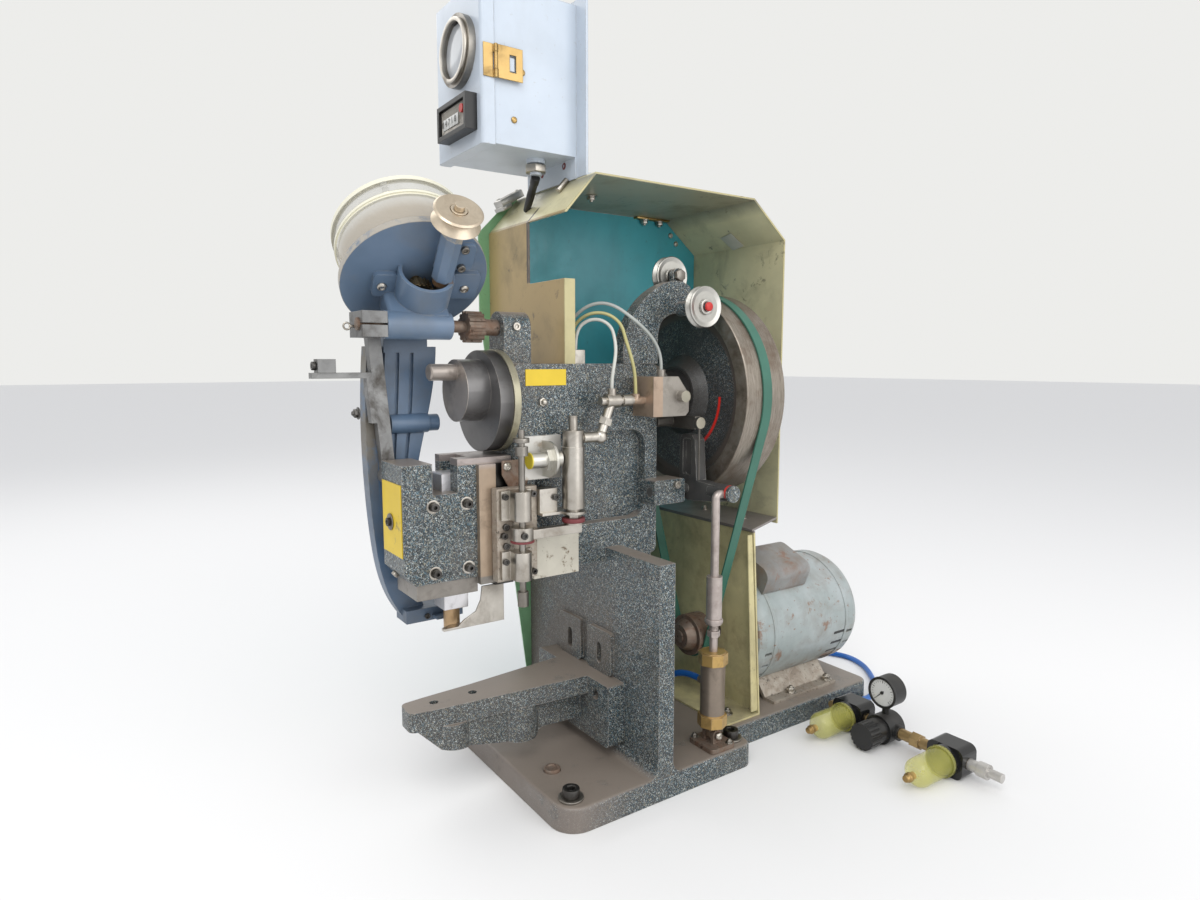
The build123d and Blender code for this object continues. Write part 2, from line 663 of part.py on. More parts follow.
def idler_bracket():
    """Curved arm that leans back over the flywheel, with the two idler pins in it."""
    outer = Spline(
        (8, BODY_TOP), (8, BODY_TOP + 24), (33, BODY_TOP + 72), (57, BODY_TOP + 91),
        (92, BODY_TOP + 101), (110, BODY_TOP + 95),
    )
    nose = Line((110, BODY_TOP + 95), (110, BODY_TOP + 61))
    inner = Spline((110, BODY_TOP + 61), (84, BODY_TOP + 61), (66, BODY_TOP + 52), (59, BODY_TOP + 24), (59, BODY_TOP))
    foot = Line((59, BODY_TOP), (8, BODY_TOP))
    near = BRACKET_X + BRACKET_T
    bracket = slab_x(make_face([outer, nose, inner, foot]), BRACKET_X, near)
    far_x, far_y, far_z = IDLER_FAR
    bracket += slab_x(Pos(far_y, far_z - 8) * Rectangle(16, 16), BRACKET_X, BRACKET_X + 8)
    bracket += bar_x(far_y, far_z, 9, BRACKET_X, BRACKET_X + 8)
    near_x, near_y, near_z = IDLER_NEAR
    bracket += bar_x(near_y, near_z, 9, near, near_x - IDLER_W / 2 - GAP)
    far_pin = bar_x(far_y, far_z, IDLER_PIN_R, far_x - IDLER_W / 2 - 3, BRACKET_X)
    near_pin = bar_x(near_y, near_z, IDLER_PIN_R, near_x - IDLER_W / 2 - GAP, near_x + IDLER_W / 2 + 3)
    return bracket + far_pin + near_pin


def idler_pulley(place):
    """Grooved idler that turns on a pin along X."""
    rim = IDLER_R
    half = shape(
        (IDLER_PIN_R + FIT, -6), (rim - 1, -6), (rim, -5), (rim, -4), (rim - 5, 0), (rim, 4), (rim, 5),
        (rim - 1, 6), (rim - 6, 4.5), (IDLER_PIN_R + 4, 4.5), (IDLER_PIN_R + 4, 6), (IDLER_PIN_R + FIT, 6),
    )
    wheel = revolve(Plane.XY * half, axis=Axis.Y)
    return Pos(*place) * Rot(0, 0, -90) * wheel


def head_housing():
    """Painted block that guides the ram, notched at the top where the ram shows."""
    side = shape(
        (HEAD_FRONT, HEAD_BOTTOM + 14), (HEAD_FRONT + 12, HEAD_BOTTOM), (HEAD_BACK, HEAD_BOTTOM),
        (HEAD_BACK, HEAD_TOP), (NOTCH_BACK, HEAD_TOP), (NOTCH_BACK, NOTCH_BOTTOM),
        (NOTCH_FRONT, NOTCH_BOTTOM), (NOTCH_FRONT, HEAD_TOP + 4), (HEAD_FRONT, HEAD_TOP + 4),
    )
    head = slab_x(side, HEAD_FAR, HEAD_NEAR)
    half = RAM_W / 2 + GAP
    head -= block(-half, half, DIE_Y - half, DIE_Y + half, HEAD_BOTTOM, HEAD_TOP + 10)
    return head


def head_bracket():
    """Dark block that joins the head to the front of the frame."""
    return block(HEAD_FAR, HEAD_NEAR, HEAD_BACK + GIB_T, BODY_FRONT, HEAD_BRACKET_BOTTOM, HEAD_TOP)


def head_plates():
    """Brown gib bar, top cap, ground base plate and the dark block that joins them to the frame."""
    gib = block(HEAD_FAR, HEAD_NEAR + 6, HEAD_BACK, HEAD_BACK + GIB_T, 255, HEAD_TOP)
    cap = block(HEAD_FAR, HEAD_NEAR, NOTCH_BACK, BODY_FRONT - 1, HEAD_TOP, HEAD_TOP + CAP_T)
    half = RAM_W / 2 + GAP
    cap -= block(-half, half, NOTCH_BACK, DIE_Y + half, HEAD_TOP, HEAD_TOP + CAP_T)
    base = block(HEAD_FAR, HEAD_NEAR - 2, HEAD_FRONT + 14, HEAD_BACK, HEAD_BOTTOM - HEAD_PLATE_T, HEAD_BOTTOM)
    base -= block(-half, half, DIE_Y - half, DIE_Y + half, HEAD_BOTTOM - HEAD_PLATE_T, HEAD_BOTTOM)
    return Part() + [gib, cap, base]


def ram():
    """Square ram with a turned nose."""
    half = RAM_W / 2
    bar = block(-half, half, DIE_Y - half, DIE_Y + half, RAM_BOTTOM, RAM_TOP)
    bar = chamfer(bar.faces().sort_by(Axis.Z)[-1].edges(), 1.5)
    nose = bar_z(0, DIE_Y, NOSE_R, RAM_BOTTOM - NOSE_L, RAM_BOTTOM)
    nose -= bar_z(0, DIE_Y, 3, RAM_BOTTOM - NOSE_L, RAM_BOTTOM - 8)
    return bar + nose


def bare_plates():
    """Thin plates: on the head's front, high on the frame's side and low on its side."""
    front = block(HEAD_FAR + 3, HEAD_NEAR - 2, HEAD_FRONT - 1, HEAD_FRONT, 294, 370)
    top = BODY_TOP - 6
    high = block(BODY_HALF, BODY_HALF + 0.8, SIDE_BACK - 6, SIDE_BACK + 46, top - 18, top)
    low = block(BODY_HALF, BODY_HALF + 4, SIDE_BACK + GAP, SIDE_BACK + 60, BODY_BOTTOM - 6, BODY_BOTTOM + 48)
    return Part() + [front, high, low]


def holding_strap():
    """Bent sheet strap that reaches down beside the nose and holds the work."""
    foot_z = HEAD_BRACKET_BOTTOM - STRAP_DROP
    near = HEAD_NEAR - 3
    web = shape(
        (STRAP_BACK - 26, HEAD_BRACKET_BOTTOM), (STRAP_BACK, HEAD_BRACKET_BOTTOM), (STRAP_BACK, foot_z),
        (STRAP_BACK - 55, foot_z), (STRAP_BACK - 48, foot_z + 6), (STRAP_BACK - 34, foot_z + 13),
        (STRAP_BACK - 28, foot_z + 25),
    )
    foot = shape(
        (near, STRAP_BACK), (near - 10, STRAP_BACK), (near - 12, STRAP_BACK - 60), (near - 6, STRAP_BACK - 72),
        (near, STRAP_BACK - 72),
    )
    return slab_x(web, near - SHEET, near) + slab_z(foot, foot_z - SHEET, foot_z)


def slide_plate():
    """Pitted plate on the near side that carries the spotter."""
    plate = block(BODY_HALF, SIDE_X, SIDE_FRONT, SIDE_BACK, SIDE_BOTTOM, SIDE_TOP)
    return plate


def bearing_blocks():
    """Two rod guides on the slide plate, each with a flange and a round barrel."""
    guides = []
    for z0, z1 in ((326, 358), (261, 292)):
        guide = block(SIDE_X, SIDE_X + 5, ROD_Y - 20, ROD_Y + 16, z0, z1)
        guide += block(SIDE_X, ROD_X, ROD_Y - 10, ROD_Y + 10, z0, z1)
        guide += bar_z(ROD_X, ROD_Y, 10, z0, z1)
        guide -= bar_z(ROD_X, ROD_Y, ROD_R + FIT, z0, z1)
        guides.append(guide)
    return Part() + guides


def cylinder_bracket():
    """Block and ear that hold the spotter's air cylinder."""
    bracket = block(BODY_HALF, SIDE_X + 6, SIDE_BACK + GAP, CYL_Y - 16, 330, 356)
    bracket += block(BODY_HALF - POCKET_DEPTH, BODY_HALF, -112, CYL_Y - 16, 332, 354)
    plate_z = CYL_BOTTOM - 3
    ear = Pos(SIDE_X, (SIDE_BACK + GAP + CYL_Y) / 2) * Rectangle(2 * (SIDE_X - BODY_HALF), CYL_Y - SIDE_BACK - GAP)
    ear += Pos(ROD_X, CYL_Y) * Circle(14)
    ear -= Pos(ROD_X, CYL_Y) * Circle(8)
    return bracket + slab_z(ear, plate_z - 3, plate_z)


def spotter_cylinder():
    """Stainless air cylinder, with its nut below and port above."""
    shell = bar_z(ROD_X, CYL_Y, CYL_R, CYL_BOTTOM, CYL_TOP - 18)
    shell += bar_z(ROD_X, CYL_Y, CYL_R - 1, CYL_TOP - 18, CYL_TOP)
    shell += bar_z(ROD_X, CYL_Y, 8, CYL_BOTTOM - 6, CYL_BOTTOM)
    nut = Pos(ROD_X, CYL_Y, CYL_BOTTOM - 15) * extrude(RegularPolygon(9, 6), amount=9)
    shell += nut
    shell += bar_z(ROD_X, CYL_Y, 5, CYL_TOP, CYL_TOP + 16)
    shell += bar_y(ROD_X, CYL_TOP - 9, 4, CYL_Y, CYL_Y + CYL_R)
    shell -= bar_z(ROD_X, CYL_Y, SPOT_PISTON_R + FIT, CYL_BOTTOM - 15, CYL_BOTTOM + 30)
    return shell


def spotter_rod():
    """Guided rod with its top collar and end tip."""
    rod = bar_z(ROD_X, ROD_Y, ROD_R, ROD_BOTTOM, ROD_TOP)
    rod += bar_z(ROD_X, ROD_Y, 7, 396, 406)
    rod += bar_z(ROD_X, ROD_Y, 6, ROD_BOTTOM, ROD_BOTTOM + 16)
    return rod


def spotter_link():
    """Bar that clamps the rod and ties it to the piston rod, with two bumper washers."""
    clamp = bar_z(ROD_X, ROD_Y, 12, LINK_Z - LINK_T / 2, LINK_Z + LINK_T / 2)
    bar = block(ROD_X - 5, ROD_X + 5, ROD_Y, CYL_Y + 8, LINK_Z - LINK_T / 2, LINK_Z + LINK_T / 2 - 4)
    bar += clamp
    bar -= bar_z(ROD_X, ROD_Y, ROD_R, LINK_Z - LINK_T, LINK_Z + LINK_T)
    piston = bar_z(ROD_X, CYL_Y, SPOT_PISTON_R, LINK_Z + LINK_T / 2 - 4, CYL_BOTTOM + 12)
    piston += bar_z(ROD_X, CYL_Y, 11, LINK_Z + LINK_T / 2 - 4, LINK_Z + LINK_T / 2 - 2)
    return bar + piston


def sensor_mount():
    """White backing plate, a rounded bracket and the barrel sensor in it."""
    plate = block(BODY_HALF, BODY_HALF + 8, SIDE_BACK - 14, SIDE_BACK + 34, SIDE_TOP + 6, SIDE_TOP + 54)
    ear_x = BODY_HALF + 8
    ear = Pos(SENSOR_X, SENSOR_Z) * Circle(20)
    ear += Pos((ear_x + SENSOR_X) / 2, SENSOR_Z) * Rectangle(SENSOR_X - ear_x, 40)
    ear &= Pos(ear_x + 50, SENSOR_Z) * Rectangle(100, 100)
    ear -= Pos(SENSOR_X, SENSOR_Z) * Circle(SENSOR_R)
    disc = slab_y(ear, SIDE_BACK + 10, SIDE_BACK + 13)
    barrel = bar_y(SENSOR_X, SENSOR_Z, SENSOR_R, ROD_Y + 12, CYL_Y - 14)
    for nut_y in (SIDE_BACK + 5, SIDE_BACK + 13):
        nut = Pos(SENSOR_X, SENSOR_Z) * (RegularPolygon(13, 6) - Circle(SENSOR_R))
        barrel += slab_y(nut, nut_y, nut_y + 5)
    return Part() + [plate, disc, barrel]


def air_fittings():
    """Elbow, sloping nipple, tee and muffler that feed the spotter cylinder, and the tubes' end block."""
    port_z = CYL_TOP - 9
    start = CYL_Y + CYL_R
    elbow_y = start + 24
    tee_y = elbow_y + 16
    tee_z = port_z + 40
    run = bar_y(ROD_X, port_z, 6, start, elbow_y)
    run += Pos(ROD_X, elbow_y, port_z) * Sphere(8)
    slope = Vector(0, tee_y - elbow_y, tee_z - port_z)
    rise = Plane(origin=(ROD_X, elbow_y, port_z), z_dir=slope)
    run += extrude(rise * Circle(5.5), amount=slope.length)
    run += extrude(rise.offset(14) * RegularPolygon(8, 6), amount=8)
    run += bar_y(ROD_X, tee_z, 8, tee_y - 9, tee_y + 9)
    run += bar_y(ROD_X, tee_z, 5, tee_y - 16, tee_y + 29)
    run += bar_y(ROD_X, tee_z, 7, tee_y + 14, tee_y + 26)
    run += bar_z(ROD_X, tee_y, 5, tee_z, WHITE_TUBE[0][2])
    end_x, end_y = GREY_TUBE[-1][0], GREY_TUBE[-1][1]
    end_block = block(end_x - 8, WHITE_TUBE[-1][0] + 8, end_y - 8, end_y + 10, BODY_TOP, BLOCK_TOP)
    return Part() + [run, end_block]


def clutch_valve():
    """Copper and steel valve blocks on the frame, and the stub, latch arm and trip rod behind them."""
    near = BODY_HALF + VALVE_W
    split = VALVE_FRONT + 14
    copper = block(BODY_HALF, near, VALVE_FRONT, split, VALVE_Z, VALVE_TOP)
    side = shape(
        (split, VALVE_Z), (VALVE_BACK - 5, VALVE_Z), (VALVE_BACK, VALVE_Z + 5), (VALVE_BACK, VALVE_TOP - 21),
        (VALVE_BACK - 17, VALVE_TOP), (split, VALVE_TOP),
    )
    steel = slab_x(side, BODY_HALF, near)
    steel += bar_x(VALVE_BACK - 13, (VALVE_Z + VALVE_TOP) / 2, 7, near, near + 10)
    yellow_x, yellow_y, yellow_z = YELLOW_TUBE[0]
    copper += bar_y(yellow_x, yellow_z - 8, 5, yellow_y - 5, VALVE_FRONT)
    copper += bar_z(yellow_x, yellow_y, 5, yellow_z - 8, yellow_z)
    grey_x, grey_y, grey_z = GREY_TUBE[0]
    steel += bar_z(grey_x, grey_y, 5, VALVE_TOP - 1, grey_z)
    stub_x = BODY_HALF - 3
    latch = bar_y(stub_x, LATCH_Z, 7, BODY_BACK, LATCH_Y + 4)
    latch += block(stub_x - 8, LATCH_NEAR, LATCH_Y - 4, LATCH_Y + 4, LATCH_Z - 8, LATCH_Z + 8)
    latch += bar_x(LATCH_Y, LATCH_Z, 7, LATCH_NEAR, LATCH_NEAR + 6)
    latch += bar_z(LATCH_NEAR + 3, LATCH_Y, 1.5, LEVER_Z + 16, LATCH_Z)
    return Part() + [copper, steel, latch]


def clutch_lever():
    """Cast bell-crank: an upright arm, a level arm and a round boss for the rod."""
    back = LEVER_FRONT + LEVER_T
    arm = shape((LEVER_X - 12, LEVER_Z - 14), (LEVER_X + 14, LEVER_Z - 14), (PULL_X - 6, LEVER_Z - 9),
                (PULL_X - 6, LEVER_Z + 9), (LEVER_X + 20, LEVER_Z + 12), (LEVER_X + 16, LEVER_TOP - 6),
                (LEVER_X + 10, LEVER_TOP), (LEVER_X - 8, LEVER_TOP), (LEVER_X - 12, LEVER_TOP - 8))
    lever = slab_y(arm, LEVER_FRONT, back)
    hollow = Pos(LEVER_X + 2, LEVER_Z + 40) * RectangleRounded(16, 46, 4)
    lever -= slab_y(hollow, LEVER_FRONT, LEVER_FRONT + 5)
    middle = (LEVER_FRONT + back) / 2
    lever += bar_x(middle, LEVER_Z + 2, BOSS_R, PULL_X - 26, PULL_X + 12)
    lever += bar_y(LEVER_X, LEVER_Z, LEVER_PIN_R - FIT, EAR_Y - EAR_L / 2, LEVER_FRONT)
    hook = bar_y(PULL_X, LEVER_Z + 2, PULL_R + GAP, LEVER_FRONT - 4, middle + 4)
    return lever - hook


def pull_rod():
    """Bent rod with its hooked top, clamp sleeve, thread and piston."""
    top = LEVER_Z + 2
    rod = bar_z(PULL_X, PULL_Y, PULL_R, 240, top - 6)
    bend = Pos(PULL_X, PULL_Y + 6, top - 6) * Rot(0, -90, 0) * Torus(6, PULL_R)
    bend &= block(PULL_X - 8, PULL_X + 8, PULL_Y - 8, PULL_Y + 6, top - 6, top + 8)
    rod += bend
    rod += bar_y(PULL_X, top, PULL_R, PULL_Y + 6, LEVER_FRONT + LEVER_T / 2 + 3)
    rod += bar_z(PULL_X, PULL_Y, 9.5, 181, 240)
    rod += bar_z(PULL_X, PULL_Y, 5, CLUTCH_BOTTOM + 40, 181)
    rod += Pos(PULL_X, PULL_Y, 166) * extrude(RegularPolygon(8, 6), amount=7)
    rod += bar_z(PULL_X, PULL_Y, 11, CLUTCH_BOTTOM + 34, CLUTCH_BOTTOM + 44)
    return rod


def clutch_cylinder():
    """Air cylinder with brass end collars and a tongue at its foot."""
    shell = bar_z(PULL_X, PULL_Y, CLUTCH_R, CLUTCH_BOTTOM, CLUTCH_TOP)
    for z0 in (CLUTCH_BOTTOM, CLUTCH_TOP - 15):
        shell += Pos(PULL_X, PULL_Y, z0) * extrude(RegularPolygon(CLUTCH_R + 3, 8), amount=14)
    shell -= bar_z(PULL_X, PULL_Y, 11 + FIT, CLUTCH_BOTTOM + 12, CLUTCH_TOP - 12)
    shell -= bar_z(PULL_X, PULL_Y, 5 + FIT, CLUTCH_TOP - 12, CLUTCH_TOP)
    shell += bar_x(PULL_Y, PORT_Z, 5, HOSE_POINTS[-1][0], PULL_X - CLUTCH_R + 1)
    tongue = bar_x(PULL_Y, CLEVIS_Z, 7, PULL_X - 4, PULL_X + 4)
    tongue += block(PULL_X - 4, PULL_X + 4, PULL_Y - 7, PULL_Y + 7, CLEVIS_Z, CLUTCH_BOTTOM)
    return shell + tongue - bar_x(PULL_Y, CLEVIS_Z, 3 + FIT, PULL_X - 4, PULL_X + 4)


def cylinder_foot():
    """Foot plate with two cheeks and a cross pin for the cylinder's tongue."""
    foot_y = PULL_Y
    plate = Pos(PULL_X, foot_y) * RectangleRounded(2 * FOOT_HALF + 6, 2 * FOOT_HALF, 5)
    foot = slab_z(plate, BASE_T, BASE_T + FOOT_T)
    for turn in (-1, 1):
        cheek_x = PULL_X + turn * 7.4
        foot += bar_x(foot_y, CLEVIS_Z, 7, cheek_x - 2.5, cheek_x + 2.5)
        foot += block(cheek_x - 2.5, cheek_x + 2.5, foot_y - 7, foot_y + 7, BASE_T, CLEVIS_Z)
    return foot + bar_x(foot_y, CLEVIS_Z, 3, PULL_X - 12, PULL_X + 12)


def hopper_plane(depth):
    """Plane square to the drum, at a depth below the underside of the hopper disc."""
    up = Vector(*HOPPER_UP).normalized()
    start = Vector(*HOPPER_AT) - up * depth
    return Plane(origin=start, x_dir=Vector(*HOPPER_SIDE), z_dir=up)


def hopper_shaft():
    """Level shaft in the frame's lug, with its spacer and a toothed collar."""
    shaft = bar_y(0, HANG_Z, HANG_R, HANG_FRONT, BODY_FRONT + LUG_L + 3)
    spacer_front = BODY_FRONT - 20
    shaft += bar_y(0, HANG_Z, 9, spacer_front, BODY_FRONT)
    teeth = Circle(15)
    for turn in PolarLocations(15, 14):
        teeth += turn * Rectangle(4, 3.2)
    return shaft + slab_y(Pos(0, HANG_Z) * teeth, spacer_front - 19, spacer_front)


def hopper_casting():
    """Blue casting: disc, barrel and neck, round worm housing, tilted post and its pads."""
    plane = hopper_plane(0)
    disc = extrude(plane * Circle(HOPPER_R), amount=HOPPER_T)
    barrel = bar_y(0, HANG_Z, TUBE_R, TUBE_FRONT, TUBE_BACK)
    neck = extrude(plane * Pos(-26, -1) * RectangleRounded(2 * TUBE_R, 64, 5), amount=-40)
    cup_plane = worm_plane().offset(POST_FOOT)
    centre = Pos(CUP_ACROSS - WORM_OFFSET, WORM_DEPTH - CUP_DEPTH)
    cup = extrude(cup_plane * centre * Circle(CUP_R), amount=-POST_FOOT - CUP_FLOOR - CUP_WALL)
    hollow = extrude(cup_plane * centre * Circle(CUP_R - CUP_WALL), amount=-POST_FOOT - CUP_FLOOR)
    above = extrude(plane * Rectangle(4 * HOPPER_R, 4 * HOPPER_R), amount=HOPPER_R)
    post = extrude(cup_plane * RegularPolygon(POST_R, 8), amount=POST_TOP - POST_FOOT)
    post += extrude(cup_plane * Circle(POST_BORE + 4), amount=-8)
    post += extrude(plane * Pos(POST_FOOT + 22, WORM_OFFSET) * Rectangle(44, 12), amount=-WORM_DEPTH)
    for across, width, length in ((-32.5, 25, 30), (52, 32, 36)):
        post += extrude(plane * Pos(-3, across) * RectangleRounded(length, width, 5), amount=-6)
    post += extrude(plane * Pos(36, 46) * RectangleRounded(34, 19, 6), amount=-5)
    casting = disc + barrel + neck + (cup - above) - (hollow - above) + post
    casting -= extrude(worm_plane() * Circle(POST_BORE), amount=POST_TOP + 1)
    casting -= extrude(hopper_plane(WORM_DEPTH) * Circle(AGITATOR_R + FIT), amount=2 * WORM_DEPTH)
    return casting - bar_y(0, HANG_Z, HANG_R + FIT, TUBE_FRONT - 2, TUBE_BACK + 10)


def worm_plane():
    """Plane square to the worm shaft, where the shaft passes the drum's axis."""
    across = hopper_plane(0)
    start = across.origin + across.y_dir * WORM_OFFSET - across.z_dir * WORM_DEPTH
    return Plane(origin=start, x_dir=across.y_dir, z_dir=across.x_dir)


def hopper_drum():
    """Clear drum on the disc, open at the top, with a rolled rim and a ledge ring below it."""
    plane = hopper_plane(-HOPPER_T)
    drum = extrude(plane * (Circle(DRUM_R) - Circle(DRUM_R - DRUM_WALL)), amount=DRUM_H)
    drum += extrude(plane * (Circle(DRUM_R) - Circle(AGITATOR_R + 2)), amount=3)
    for low, high in ((DRUM_LEDGE, DRUM_LEDGE + 4), (DRUM_H - 6, DRUM_H)):
        ring = Circle(DRUM_R + 1.5) - Circle(DRUM_R - DRUM_WALL)
        drum += extrude(plane.offset(low) * ring, amount=high - low)
    return drum


def agitator():
    """Worm wheel, spindle and stirrer arms inside the drum."""
    wheel_plane = hopper_plane(WORM_DEPTH + GEAR_T / 2)
    teeth = Circle(GEAR_R - 2)
    for turn in PolarLocations(GEAR_R - 2, 18):
        teeth += turn * Rectangle(4, 2.4)
    gear = extrude(wheel_plane * teeth, amount=GEAR_T)
    low = WORM_DEPTH + GEAR_T / 2 + 2
    spindle = extrude(hopper_plane(low) * Circle(AGITATOR_R), amount=low + HOPPER_T + 22)
    arm_plane = hopper_plane(-HOPPER_T - 8)
    arms = extrude(arm_plane * RectangleRounded(2 * (DRUM_R - 20), 9, 4), amount=8)
    return gear + spindle + arms


def hopper_pulley():
    """Vee pulley on the worm shaft that runs down through the post."""
    low = POST_TOP + GAP
    mid = low + VEE_W / 2
    top = low + VEE_W
    half = shape(
        (0, low), (VEE_R - 2, low), (VEE_R, low + 1.5), (VEE_R - 7, mid),
        (VEE_R, top - 1.5), (VEE_R - 2, top), (9, top), (8, top - 2), (0, top - 2),
    )
    wheel = revolve(Plane.XZ * half, axis=Axis.Z)
    wheel += Cylinder(POST_BORE - FIT, top + 6, align=(Align.CENTER, Align.CENTER, Align.MIN))
    wheel += Cylinder(WORM_R, WORM_L)
    return worm_plane().location * wheel


def raceway():
    """Curved track casting that leads the eyelets down to the die line, with its level shoe."""
    x0 = RACE_NEAR - RACE_T
    edge = Spline(*RACE_FRONT_EDGE)
    rear = Spline(*RACE_REAR_EDGE)
    toe = Polyline(RACE_FRONT_EDGE[-1], (RACE_REAR_EDGE[0][0], RACE_FRONT_EDGE[-1][1]), RACE_REAR_EDGE[0])
    top = Line(RACE_REAR_EDGE[-1], RACE_FRONT_EDGE[0])
    track = slab_x(make_face([edge, toe, rear, top]), x0, RACE_NEAR)
    for inset in RACE_GROOVES:
        points = []
        for (edge_y, edge_z), share in zip(RACE_FRONT_EDGE, (1, 1, 0.8)):
            points.append((edge_y + inset * share, edge_z))
        wall = Plane(origin=(RACE_NEAR, 0, 0), x_dir=(0, 1, 0), z_dir=(1, 0, 0))
        track -= extrude(wall * trace(Spline(*points), 4), amount=-4)
    stem = block(x0, RACE_NEAR, -252, -202, RACE_FRONT_EDGE[0][1] - 7, HANG_Z + 70)
    stem -= extrude(hopper_plane(0) * Rectangle(400, 400), amount=200)
    shoe = block(x0, RACE_NEAR + 14, -240, SHOE_BACK, SHOE_Z, SHOE_Z + 15)
    shoe += block(RACE_NEAR + 14, -RAM_W / 2 - 1.5, DIE_Y - 11, DIE_Y + 11, SHOE_Z + 4, SHOE_Z + 7)
    boss = bar_y(RACE_NEAR - 2, 427, 11, -248, -204)
    boss += bar_y(RACE_NEAR - 2, 427, 9.5, -204, -192)
    return track + stem + shoe + boss


def bar_edge(z, side):
    """Y of the feed lever's front (-1) or rear (1) edge at a height."""
    centre = BAR_PIVOT_Y + (HANG_CLAMP_Y - BAR_PIVOT_Y) * (z - BAR_PIVOT_Z) / (HANG_Z - BAR_PIVOT_Z)
    return centre + side * BAR_W / 2


def feed_lever():
    """Split clamp on the level shaft and the long bar that hangs beside it."""
    clamp = block(BAR_NEAR, 14, HANG_FRONT + 2, TUBE_FRONT - GAP, HANG_Z - 13, HANG_Z + 13)
    clamp -= bar_y(0, HANG_Z, HANG_R + FIT, HANG_FRONT, TUBE_FRONT)
    clamp -= block(HANG_R - 1, 15, HANG_FRONT, TUBE_FRONT, HANG_Z - 1, HANG_Z + 1)
    far = BAR_NEAR - BAR_T
    high = HANG_Z + 13
    low = BAR_PIVOT_Z
    bar = shape((bar_edge(high, -1), high), (bar_edge(high, 1), high), (bar_edge(low, 1), low), (bar_edge(low, -1), low))
    lever = clamp + slab_x(bar, far, BAR_NEAR)
    lever += bar_x(BAR_PIVOT_Y, BAR_PIVOT_Z, 10, far, BAR_NEAR + 1)
    lever += bar_x(BAR_PIVOT_Y, BAR_PIVOT_Z, 7, RACE_NEAR, far)
    return lever


def feed_bracket():
    """L bracket on the lever's front edge, with a square stop block on its shelf."""
    far = BAR_NEAR - BAR_T
    low, shelf, high = 430, 478, 484
    leg = shape(
        (bar_edge(low, -1), low), (bar_edge(low, -1) - 6, low), (bar_edge(shelf, -1) - 6, shelf),
        (SHELF_FRONT, shelf), (SHELF_FRONT, high), (bar_edge(high, -1), high),
    )
    bracket = slab_x(leg, far, BAR_NEAR)
    stop = block(far - 2, BAR_NEAR + 2, SHELF_FRONT + 6, SHELF_FRONT + 24, high, high + 14)
    return Part() + [bracket, stop]


def box_body():
    """Control box shell, open at the front, on its back plate."""
    shell = block(BOX_FAR, BOX_NEAR, BOX_FRONT, BOX_BACK, BOX_BOTTOM, BOX_TOP)
    shell -= block(
        BOX_FAR + BOX_WALL, BOX_NEAR - BOX_WALL, BOX_FRONT, BOX_BACK - BOX_WALL,
        BOX_BOTTOM + BOX_WALL, BOX_TOP - BOX_WALL,
    )
    flange = block(BOX_FAR + 20, BOX_NEAR, BOX_BACK, BOX_BACK + 2, BOX_BOTTOM - 24, BOX_TOP)
    plate = block(BOX_FAR, BOX_NEAR + 20, BOX_BACK + 2, BOX_BACK + 5, GUARD_TOP, BOX_TOP + 6)
    plate += block(BOX_FAR, BOX_NEAR + 20, BOX_BACK + 5, BOX_BACK + 34, GUARD_TOP, GUARD_TOP + 3)
    gland = bar_z(-34, -66, 11, BOX_BOTTOM - 5, BOX_BOTTOM)
    gland += bar_z(-34, -66, 7, BOX_BOTTOM - 18, BOX_BOTTOM - 5)
    staple = block(BOX_NEAR, BOX_NEAR + 3.6, BOX_FRONT + 17, BOX_FRONT + 23, HASP_LOW + 10, HASP_HIGH - 10)
    return shell + flange + plate + gland + staple


def box_door():
    """Front cover with a folded rim, cut for the window and the counter."""
    front = BOX_FRONT - DOOR_T
    lap = 2
    door = block(BOX_FAR - lap, BOX_NEAR + lap, front, BOX_FRONT - GAP, BOX_BOTTOM - lap, BOX_TOP + lap)
    vertical = door.edges().filter_by(Axis.Z).group_by(Axis.Y)[0]
    door = fillet(vertical, 5)
    door -= block(BOX_FAR, BOX_NEAR, front + BOX_WALL, BOX_FRONT, BOX_BOTTOM, BOX_TOP)
    door -= bar_y(WINDOW_X, WINDOW_Z, WINDOW_R - 5, front - 1, front + 5)
    return door


def box_window():
    """Round window: a thick bezel and its clear pane."""
    front = BOX_FRONT - DOOR_T
    bezel = bar_y(WINDOW_X, WINDOW_Z, WINDOW_R, front - 8, front)
    bezel -= bar_y(WINDOW_X, WINDOW_Z, WINDOW_R - 8, front - 8, front - 2)
    return bezel


def counter():
    """Counter body with a recessed face for its digits."""
    front = BOX_FRONT - DOOR_T
    low = BOX_BOTTOM + COUNTER_RISE
    high = low + COUNTER_H
    body = block(WINDOW_X - 38, WINDOW_X + 38, front - 14, front, low, high)
    body -= block(WINDOW_X - 33, WINDOW_X + 33, front - 14, front - 10, low + 5, high - 5)
    return body - bar_y(WINDOW_X + 24, high - 14, 5, front - 12, front - 3)


def counter_button():
    """Push button that sets the counter back to nought."""
    front = BOX_FRONT - DOOR_T
    button_z = BOX_BOTTOM + COUNTER_RISE + COUNTER_H - 14
    return bar_y(WINDOW_X + 24, button_z, 4.6, front - 13, front - 7)


def hasp_hinge():
    """Centre of the hasp's pin, which stands upright beside the door's edge."""
    return BOX_NEAR + 5, BOX_FRONT - 0.2


